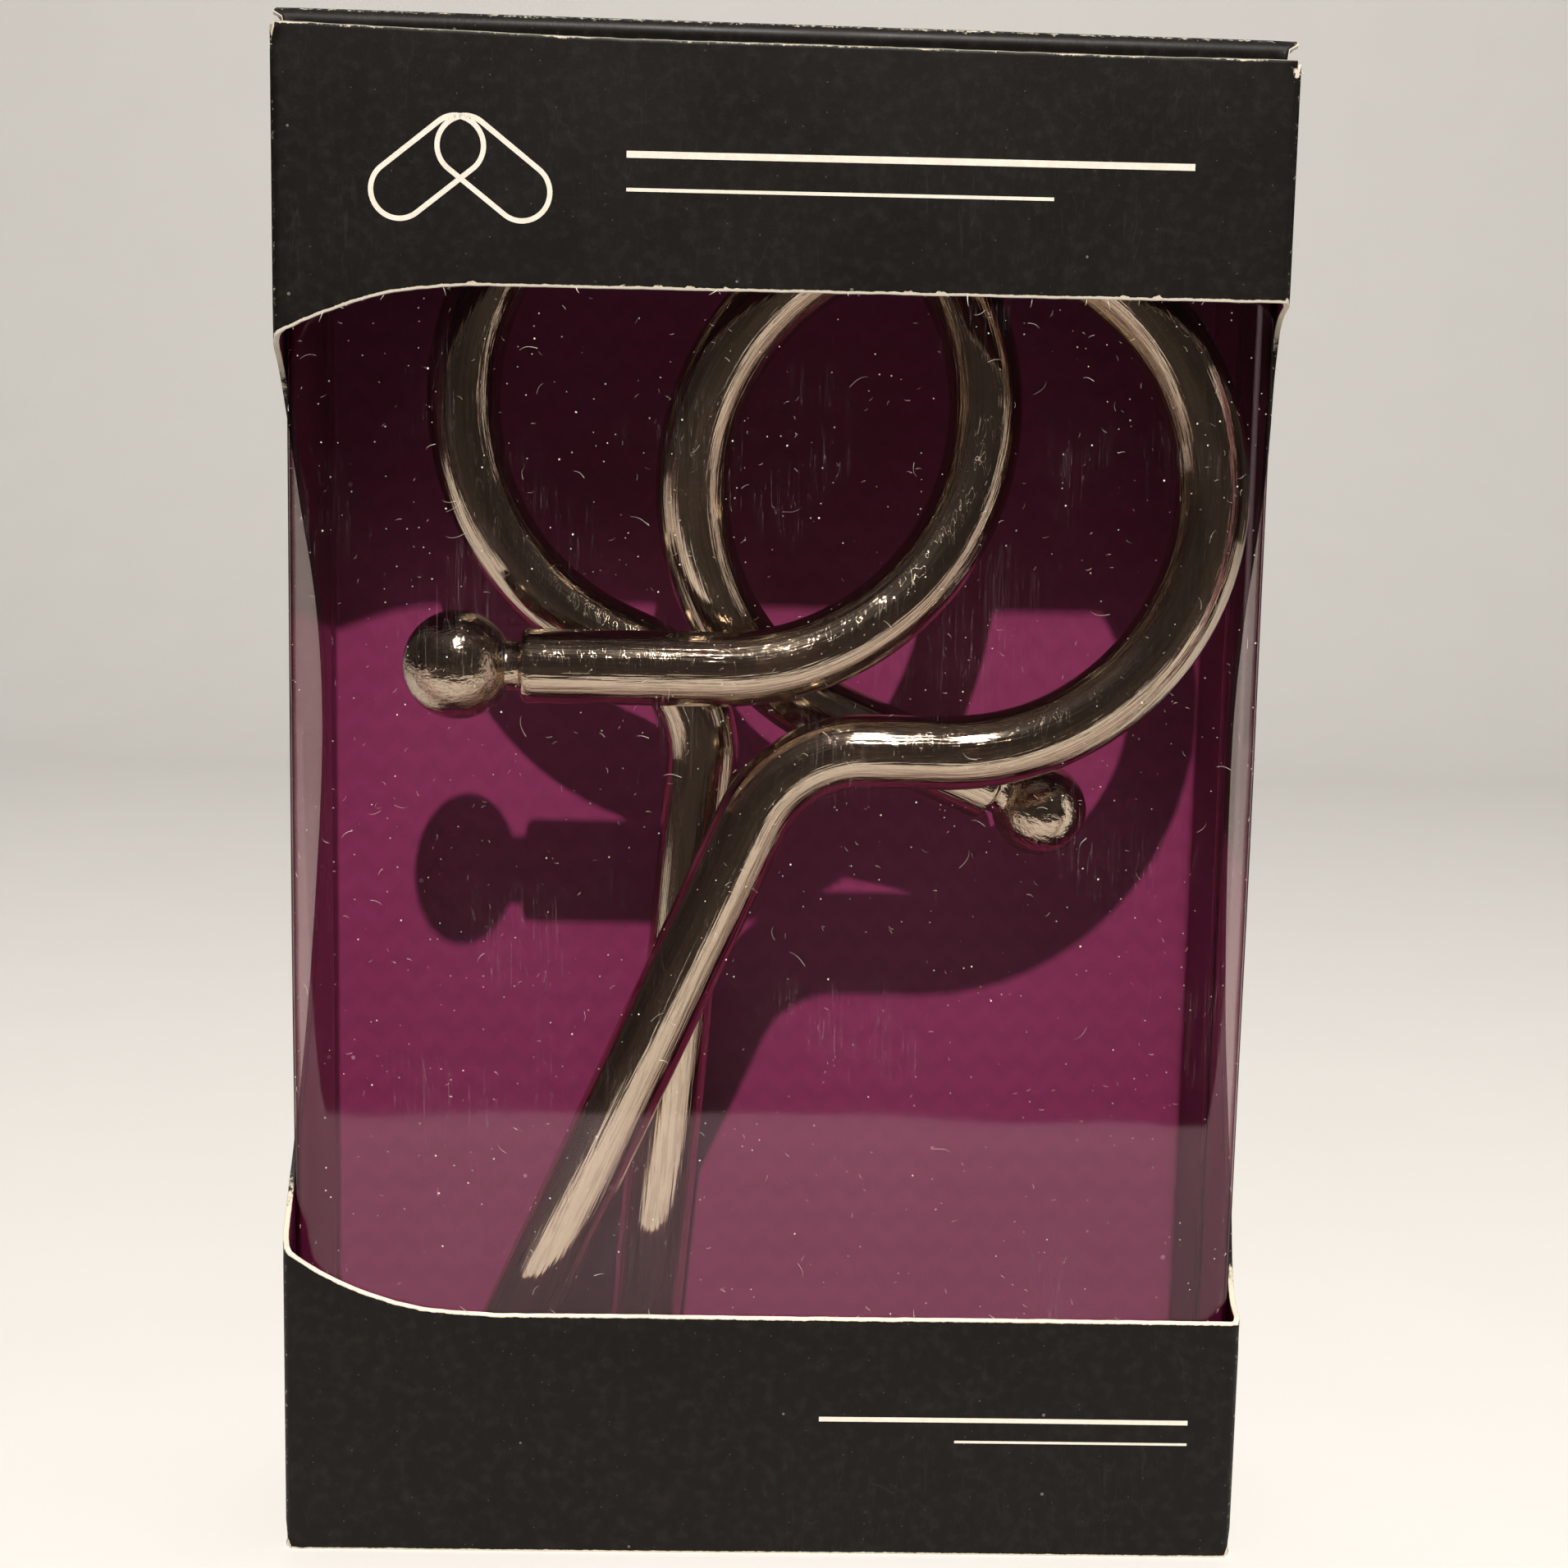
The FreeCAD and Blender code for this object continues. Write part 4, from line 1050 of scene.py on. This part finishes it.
def at(segs, s):
    for i, (kind, ref, heading, length, radius) in enumerate(segs):
        if s <= length + 1e-9 or i == len(segs) - 1:
            if kind == "run":
                hr = math.radians(heading)
                return ref[0] + s * math.cos(hr), ref[1] + s * math.sin(hr)
            sg = 1.0 if radius > 0 else -1.0
            r = abs(radius)
            nr = math.radians(heading + sg * math.degrees(s / r) + 90 * sg)
            return ref[0] - r * math.cos(nr), ref[1] - r * math.sin(nr)
        s -= length


def hermite(knots, s):
    if s <= knots[0][0]:
        return knots[0][1] + (s - knots[0][0]) * knots[0][2]
    for (s0, d0, m0), (s1, d1, m1) in zip(knots, knots[1:]):
        if s <= s1:
            st = s1 - s0
            u = (s - s0) / st
            return (d0 * (2 * u ** 3 - 3 * u ** 2 + 1) + st * m0 * (u ** 3 - 2 * u ** 2 + u)
                    + d1 * (-2 * u ** 3 + 3 * u ** 2) + st * m1 * (u ** 3 - u ** 2))
    return knots[-1][1] + (s - knots[-1][0]) * knots[-1][2]


def nail_piece(name, segs, knots, total, ball_r, body, node, seed):
    rod, groove, gap, edge = 3.25, 2.15, 0.75, 0.7
    reach = math.sqrt(ball_r ** 2 - groove ** 2)
    shoulder = ball_r + gap
    # radius along the axis, s = 0 at the ball's centre
    prof = []
    a0 = math.pi
    a1 = math.atan2(groove, reach)
    for i in range(41):
        a = a0 + (a1 - a0) * i / 40
        prof.append((ball_r * math.cos(a), max(ball_r * math.sin(a), 0.0)))
    prof += [(reach + 0.12, groove - 0.02), (shoulder - 0.12, groove - 0.02), (shoulder, groove + 0.1)]
    prof += [(shoulder, rod - edge)]
    for i in range(1, 9):
        a = math.pi / 2 * i / 8
        prof.append((shoulder + edge - edge * math.cos(a), rod - edge + edge * math.sin(a)))
    s = shoulder + edge + 0.4
    while s < total:
        prof.append((s, rod))
        s += 0.55
    prof.append((total, rod))
    tl, tf = 11.0, 1.0
    # the same three-point arc as the turned tip, then a small blunt end
    P, M_, E = (0.0, rod), (tl * 0.55, rod * 0.80), (tl - 0.35, tf)
    for i in range(1, 25):
        t = i / 24
        x = t * E[0]
        # quadratic through the three points
        L0 = (x - M_[0]) * (x - E[0]) / ((P[0] - M_[0]) * (P[0] - E[0]))
        L1 = (x - P[0]) * (x - E[0]) / ((M_[0] - P[0]) * (M_[0] - E[0]))
        L2 = (x - P[0]) * (x - M_[0]) / ((E[0] - P[0]) * (E[0] - M_[0]))
        prof.append((total + x, P[1] * L0 + M_[1] * L1 + E[1] * L2))
    prof += [(total + tl - 0.15, tf * 0.8), (total + tl, tf * 0.4), (total + tl, 0.0)]

    end_tangent = None

    def centre(s):
        if s <= total:
            x, z = at(segs, max(s, 0.0)) if s >= 0 else at(segs, 0.0)
            if s < 0:
                hr = math.radians(segs[0][2])
                x, z = x + s * math.cos(hr), z + s * math.sin(hr)
            return np.array((x, Y0 + hermite(knots, s), z))
        e = centre(total)
        t = e - centre(total - 0.05)
        t /= np.linalg.norm(t)
        return e + t * (s - total)

    N = 56
    ref = np.array((0.0, 1.0, 0.0))
    verts, faces, flow = [], [], []
    c0 = None
    for k, (s, r) in enumerate(prof):
        c = centre(s)
        t = centre(s + 0.04) - centre(s - 0.04)
        t /= np.linalg.norm(t)
        ref = ref - t * (ref @ t)
        ref /= np.linalg.norm(ref)
        b = np.cross(t, ref)
        if 1e-6 < r:
            # hand-bent rod: very slightly out of round and lumpy
            q = 1.0 + 0.006 * noise.noise(Vector((s * 0.08, seed, 0)))
            for i in range(N):
                a = 2 * math.pi * i / N
                verts.append(tuple(c + (ref * math.cos(a) + b * math.sin(a)) * r * q))
                # streaks run along the drawn rod, but not over the turned ball
                rate = 0.045 if s > shoulder + 1.0 else 0.5
                flow.append((r * math.cos(a) + seed * 9, r * math.sin(a),
                             (s - shoulder - 1.0) * rate + 4.0))
        else:
            verts.append(tuple(c))
            flow.append((seed * 9, 0.0, (s - shoulder - 1.0) * 0.5 + 4.0))
    # build faces ring to ring, with fans at both poles
    idx = []
    cur = 0
    for s, r in prof:
        if r > 1e-6:
            idx.append(list(range(cur, cur + N)))
            cur += N
        else:
            idx.append([cur])
            cur += 1
    for A, B in zip(idx, idx[1:]):
        if len(A) == 1 and len(B) == 1:
            continue
        for i in range(N):
            j = (i + 1) % N
            if len(A) == 1:
                faces.append((A[0], B[i], B[j]))
            elif len(B) == 1:
                faces.append((A[j], A[i], B[0]))
            else:
                faces.append((A[j], A[i], B[i], B[j]))
    ob = obj_from(name, verts, faces, [NICKEL], smooth_angle=50.0)
    att = ob.data.attributes.new("flow", "FLOAT_VECTOR", "POINT")
    att.data.foreach_set("vector", np.array(flow, np.float32).ravel())
    import bmesh
    bm = bmesh.new()
    bm.from_mesh(ob.data)
    bmesh.ops.remove_doubles(bm, verts=bm.verts, dist=1e-7)
    bmesh.ops.recalc_face_normals(bm, faces=bm.faces)
    bm.to_mesh(ob.data)
    bm.free()
    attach(ob, body)
    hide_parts(node)
    return ob


def to_tip(end, heading, tip_z):
    return (end[1] - tip_z) / -math.sin(math.radians(heading))


# front nail
neck, fr, fb = 22.6, 23.1, 10.5
runs = [("run", neck), ("turn", fr, 337.0), ("run", 1.3), ("turn", fb, -72.0)]
seg, end, heading = plan_path((-27.5, 78.1), 0.0, runs)
shank = to_tip(end, heading, 1.7) - 11.0
fseg, end, heading = plan_path((-27.5, 78.1), 0.0, runs + [("run", shank)])
l0 = neck
l1 = l0 + fr * math.radians(337.0)
l2 = l1 + 1.3
l3 = l2 + fb * math.radians(72.0)
l4 = l3 + shank
fknots = [(0, 6.0, 0), (l0 + fr * math.radians(4), 6.0, 0), (l0 + fr * math.radians(131), 13.7, 0),
          (l3, 13.7, 0), (l4, 14.4, 0.7 / (l4 - l3) * 1.5)]
front = nail_piece("front_nail_rod", fseg, fknots, l4, 4.75, "front_piece", "front_nail", 2.0)

# rear nail
rr, rb, neck, a0 = 22.5, 10.6, 20.9, 246.4
h0 = a0 - 90.0
join = (15.0 + rr * math.cos(math.radians(a0)), 93.6 + rr * math.sin(math.radians(a0)))
start = (join[0] - neck * math.cos(math.radians(h0)), join[1] - neck * math.sin(math.radians(h0)))
runs = [("run", neck), ("turn", rr, -336.4), ("run", 7.1), ("turn", rb, 66.2)]
seg, end, heading = plan_path(start, h0, runs)
shank = to_tip(end, heading, 1.7) - 11.0
rseg, end, heading = plan_path(start, h0, runs + [("run", shank)])
l0 = neck
l1 = l0 + rr * math.radians(336.4)
l2 = l1 + 7.1
l3 = l2 + rb * math.radians(66.2)
l4 = l3 + shank
sl = (15.0 - 18.6) / neck
rknots = [(0, 18.6, sl), (l0, 15.0, sl), (l0 + rr * math.radians(151), 6.4, 0), (l3, 6.4, 0),
          (l4, 9.0, 2.6 / (l4 - l3) * 1.5)]
rear = nail_piece("rear_nail_rod", rseg, rknots, l4, 4.35, "rear_piece", "rear_nail", 6.0)

# ------------------------------------------------------------------ printed ornament
# Plain generic line work in cream ink, laid as thin ink on the front bands.


def ribbon(verts, faces, path, width, closed, y):
    pts = np.array(path, float)
    k = len(pts)
    prev, nxt = np.roll(pts, 1, 0), np.roll(pts, -1, 0)
    if not closed:
        prev[0], nxt[-1] = pts[0], pts[-1]
    t = nxt - prev
    t /= np.maximum(np.linalg.norm(t, axis=1)[:, None], 1e-9)
    nr = np.stack([-t[:, 1], t[:, 0]], 1)
    for i in range(k):
        wob = width / 2
        a, b = pts[i] + nr[i] * wob, pts[i] - nr[i] * wob
        for p, dz in ((a, 0.0), (b, 0.0), (a, 0.02), (b, 0.02)):
            (X, Yw), _ = wrap_point(u_front(p[0]))
            base = wrap_place(u_front(p[0]), p[1], 0.0)
            verts.append((base[0], base[1] - dz - 0.004, base[2]))
    s0 = len(verts) - 4 * k
    for i in range(k if closed else k - 1):
        j = (i + 1) % k
        A, B = s0 + 4 * i, s0 + 4 * j
        faces.append((A + 2, A + 3, B + 3, B + 2))
        faces.append((A, B, B + 1, A + 1))
        faces.append((A, A + 2, B + 2, B))
        faces.append((A + 1, B + 1, B + 3, A + 3))
    if not closed:
        A, B = s0, s0 + 4 * (k - 1)
        faces.append((A, A + 1, A + 3, A + 2))
        faces.append((B, B + 2, B + 3, B + 1))


def rounded_link(cx, cz, w_, h_, ang, count=96):
    """Outline of a long link with round ends, turned by ang degrees."""
    out = []
    r = h_ / 2
    straight = w_ / 2 - r
    for i in range(count):
        t = 2 * math.pi * i / count
        x = r * math.cos(t) + (straight if math.cos(t) > 0 else -straight)
        out.append((x, r * math.sin(t)))
    c, s = math.cos(math.radians(ang)), math.sin(math.radians(ang))
    return [(cx + x * c - y * s, cz + x * s + y * c) for x, y in out]


iv, iff = [], []
ribbon(iv, iff, rounded_link(-29.2, 119.0, 10.4, 4.6, 38), 0.42, True, 0)
ribbon(iv, iff, rounded_link(-23.8, 119.0, 10.4, 4.6, -38), 0.42, True, 0)
for x0, x1, z, w_ in ((-13.0, 33.5, 120.4, 0.55), (-13.0, 22.0, 117.6, 0.28)):
    ribbon(iv, iff, [(x0 + (x1 - x0) * i / 40, z) for i in range(41)], w_, False, 0)
for x0, x1, z, w_ in ((5.0, 37.6, 12.6, 0.42), (17.0, 37.6, 10.6, 0.22)):
    ribbon(iv, iff, [(x0 + (x1 - x0) * i / 30, z) for i in range(31)], w_, False, 0)
ornament = obj_from("printed_ornament", iv, iff, [INK], smooth_angle=30)
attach(ornament, "carton")

# ------------------------------------------------------------------ frayed fibres
fv, ff = [], []


def fibre(p, direction, out_dir, length, width):
    """One curled sliver of board fibre standing off a cut edge."""
    d = Vector(direction).normalized()
    o = Vector(out_dir).normalized()
    side_ = d.cross(o).normalized()
    curl = rng.uniform(-1.2, 1.2)
    k = 7
    s0 = len(fv)
    for i in range(k):
        t = i / (k - 1)
        c = Vector(p) + d * (length * t) + o * (length * 0.30 * math.sin(t * 2.2)) + \
            side_ * (length * 0.35 * curl * t * t)
        w_ = width * (1 - 0.75 * t)
        for a in range(4):
            an = math.pi / 2 * a + 0.3
            fv.append(tuple(c + (side_ * math.cos(an) + o * math.sin(an) * 0.5) * w_))
    for i in range(k - 1):
        for a in range(4):
            b = (a + 1) % 4
            A, B = s0 + 4 * i, s0 + 4 * (i + 1)
            ff.append((A + a, A + b, B + b, B + a))
    ff.append(tuple(s0 + a for a in (3, 2, 1, 0)))
    ff.append(tuple(s0 + 4 * (k - 1) + a for a in range(4)))


wl = np.array(window)
for _ in range(120):
    i = rng.randrange(len(wl))
    u, v = wl[i]
    u2, v2 = wl[(i + 1) % len(wl)]
    t = np.array((u2 - u, v2 - v))
    t /= max(np.linalg.norm(t), 1e-9)
    dep = rng.uniform(0.05, 0.4)
    p0 = Vector(wrap_place(u, v, dep))
    p1 = Vector(wrap_place(u + t[0] * 0.3, v + t[1] * 0.3, dep))
    pin = Vector(wrap_place(u, v, dep + 0.2))
    along = (p1 - p0).normalized()
    nrm = (p0 - pin).normalized()
    into = along.cross(nrm)
    # into the opening: away from the sheet
    ang = rng.uniform(-0.9, 0.9)
    uo = np.array((t[1], -t[0]))
    q = wrap_place(u + uo[0] * 0.3, v + uo[1] * 0.3, dep)
    is_open = not inside([tuple(a) for a in wl], [(u + uo[0] * 0.3, v + uo[1] * 0.3)])[0]
    o = (Vector(q) - p0).normalized() * (-1 if is_open else 1)
    fibre(p0 - o * 0.08, o * math.cos(ang) + along * math.sin(ang), nrm,
          rng.choice((0.25, 0.35, 0.5, 0.8)) * rng.uniform(0.6, 1.2), rng.uniform(0.02, 0.045))
for cx, cz in ((-41.9, 128.6), (41.9, 128.7)):
    for _ in range(9):
        sx = 1 if cx > 0 else -1
        p = (cx + sx * rng.uniform(-0.3, 0.0), Y0 + rng.uniform(0.15, 0.9),
             cz + front_lift(cx) - rng.uniform(-0.1, 1.6))
        fibre(p, (sx * rng.uniform(0.1, 0.6), rng.uniform(-0.3, 0.1), rng.uniform(-0.9, 0.9)),
              (sx, -0.6, 0.3), rng.uniform(0.2, 0.5), rng.uniform(0.02, 0.045))
fray = obj_from("edge_fibres", fv, ff, [CORE], smooth_angle=60)
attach(fray, "carton")

# lint and specks lying on the film
fv, ff = [], []
for k in range(520):
    u = rng.uniform(F1 + 1.0, F4 - 1.0)
    v = rng.uniform(22.0, 109.0)
    if k % 3 == 0:
        v = rng.uniform(60.0, 109.0)
    p0 = Vector(film_place(u, v, -0.015))
    pn = (Vector(film_place(u, v, -0.1)) - p0).normalized()
    pu = (Vector(film_place(u + 0.2, v, -0.015)) - p0).normalized()
    ang = rng.uniform(0, 2 * math.pi)
    d = pu * math.cos(ang) + Vector((0, 0, 1)) * math.sin(ang)
    big = rng.random() < 0.12
    length = rng.uniform(0.6, 1.7) if big else rng.uniform(0.12, 0.55)
    fibre(p0, d, pn * 0.2 + d.cross(pn) * rng.choice((-1, 1)), length,
          rng.uniform(0.016, 0.03) * (1.3 if big else 1.0))
for k in range(460):
    u, v = rng.uniform(F1 + 1.0, F4 - 1.0), rng.uniform(22.0, 109.0)
    c = Vector(film_place(u, v, -0.02))
    r_ = rng.choice((0.025, 0.03, 0.04, 0.05, 0.075)) * rng.uniform(0.7, 1.2)
    s0 = len(fv)
    ring_ = [Vector((math.cos(a), 0.0, math.sin(a))) for a in [math.pi / 3 * i for i in range(6)]]
    for q in ring_:
        fv.append(tuple(c + q * r_ * rng.uniform(0.75, 1.25)))
    fv.append(tuple(c + Vector((0, -0.6 * r_, 0))))
    fv.append(tuple(c + Vector((0, 0.3 * r_, 0))))
    for i in range(6):
        j = (i + 1) % 6
        ff.append((s0 + i, s0 + j, s0 + 6))
        ff.append((s0 + j, s0 + i, s0 + 7))
lint = obj_from("film_lint", fv, ff, [CORE], smooth_angle=60)
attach(lint, "carton")

# ------------------------------------------------------------------ floor and light
# Floor and backdrop in one sweep, so no horizon line shows.
sweep = [(-0.142, 0.0), (0.0, 0.0), (0.25, 0.0), (0.55, 0.0)]
sweep += [(0.55 + 0.35 * math.sin(a), 0.35 - 0.35 * math.cos(a)) for a in
          [math.pi / 2 * i / 24 for i in range(1, 25)]]
sweep += [(0.90, 1.6)]
gverts, gfaces = [], []
xs = [-0.75 + 1.5 * i / 10 for i in range(11)]
for y, z in sweep:
    gverts += [(x / MM, y / MM, z / MM) for x in xs]
for j in range(len(sweep) - 1):
    for i in range(10):
        q = j * 11 + i
        gfaces.append((q, q + 1, q + 12, q + 11))
gm, nt = new_mat("studio_sweep")
p, out = principled(nt, Roughness=0.8)
gn = tex_noise(nt, coords(nt), 30.0, 3.0, 0.5)
link(nt, mix_col(nt, gn, (0.70, 0.685, 0.665), (0.73, 0.715, 0.695)), p.inputs["Base Color"])
ground = obj_from("studio_sweep", gverts, gfaces, [gm], smooth_angle=60)

# one small lamp about a metre away, above and in front, a little to the right
key_d = bpy.data.lights.new("key", "POINT")
key_d.energy = 76.0
key_d.shadow_soft_size = 0.012
key_d.color = (1.0, 0.965, 0.91)
key = bpy.data.objects.new("key", key_d)
bpy.context.scene.collection.objects.link(key)
key.location = (0.037, -0.70, 0.872)


def area_light(name, loc, aim, sx, sy, power, col):
    ld = bpy.data.lights.new(name, "AREA")
    ld.shape = "RECTANGLE"
    ld.energy, ld.size, ld.size_y, ld.color = power, sx, sy, col
    lo = bpy.data.objects.new(name, ld)
    bpy.context.scene.collection.objects.link(lo)
    lo.location = loc
    lo.rotation_mode = "QUATERNION"
    lo.rotation_quaternion = (Vector(loc) - Vector(aim)).to_track_quat("Z", "Y")
    return lo


# a soft panel on the right gives the rods their bright right edge; one lights the backdrop
area_light("soft_right", (0.42, -0.16, 0.10), (0, 0, 0.06), 0.12, 0.34, 0.15, (1.0, 0.96, 0.90))
area_light("backdrop", (0.0, 0.25, 1.1), (0, 0.8, 0.25), 1.6, 0.3, 0.9, (1.0, 1.0, 1.0))

world = bpy.data.worlds.new("studio")
bpy.context.scene.world = world
world.use_nodes = True
nt = world.node_tree
nt.nodes.clear()
wo = n(nt, "ShaderNodeOutputWorld")
room = n(nt, "ShaderNodeBackground")
tc = n(nt, "ShaderNodeTexCoord")
sp = n(nt, "ShaderNodeSeparateXYZ")
link(nt, tc.outputs["Generated"], sp.inputs[0])
lift = math_node(nt, "ADD", math_node(nt, "MULTIPLY", sp.outputs["Z"], 0.5), 0.5)
sky = ramp(nt, lift, [(0.0, (0.082, 0.073, 0.063)), (0.48, (0.056, 0.049, 0.042)), (0.53, (0.036, 0.031, 0.027)),
                      (0.75, (0.046, 0.041, 0.037)), (1.0, (0.17, 0.16, 0.155))])
link(nt, sky, room.inputs["Color"])
room.inputs["Strength"].default_value = 1.0
link(nt, room.outputs[0], wo.inputs["Surface"])
bpy.context.scene.view_settings.view_transform = "Standard"
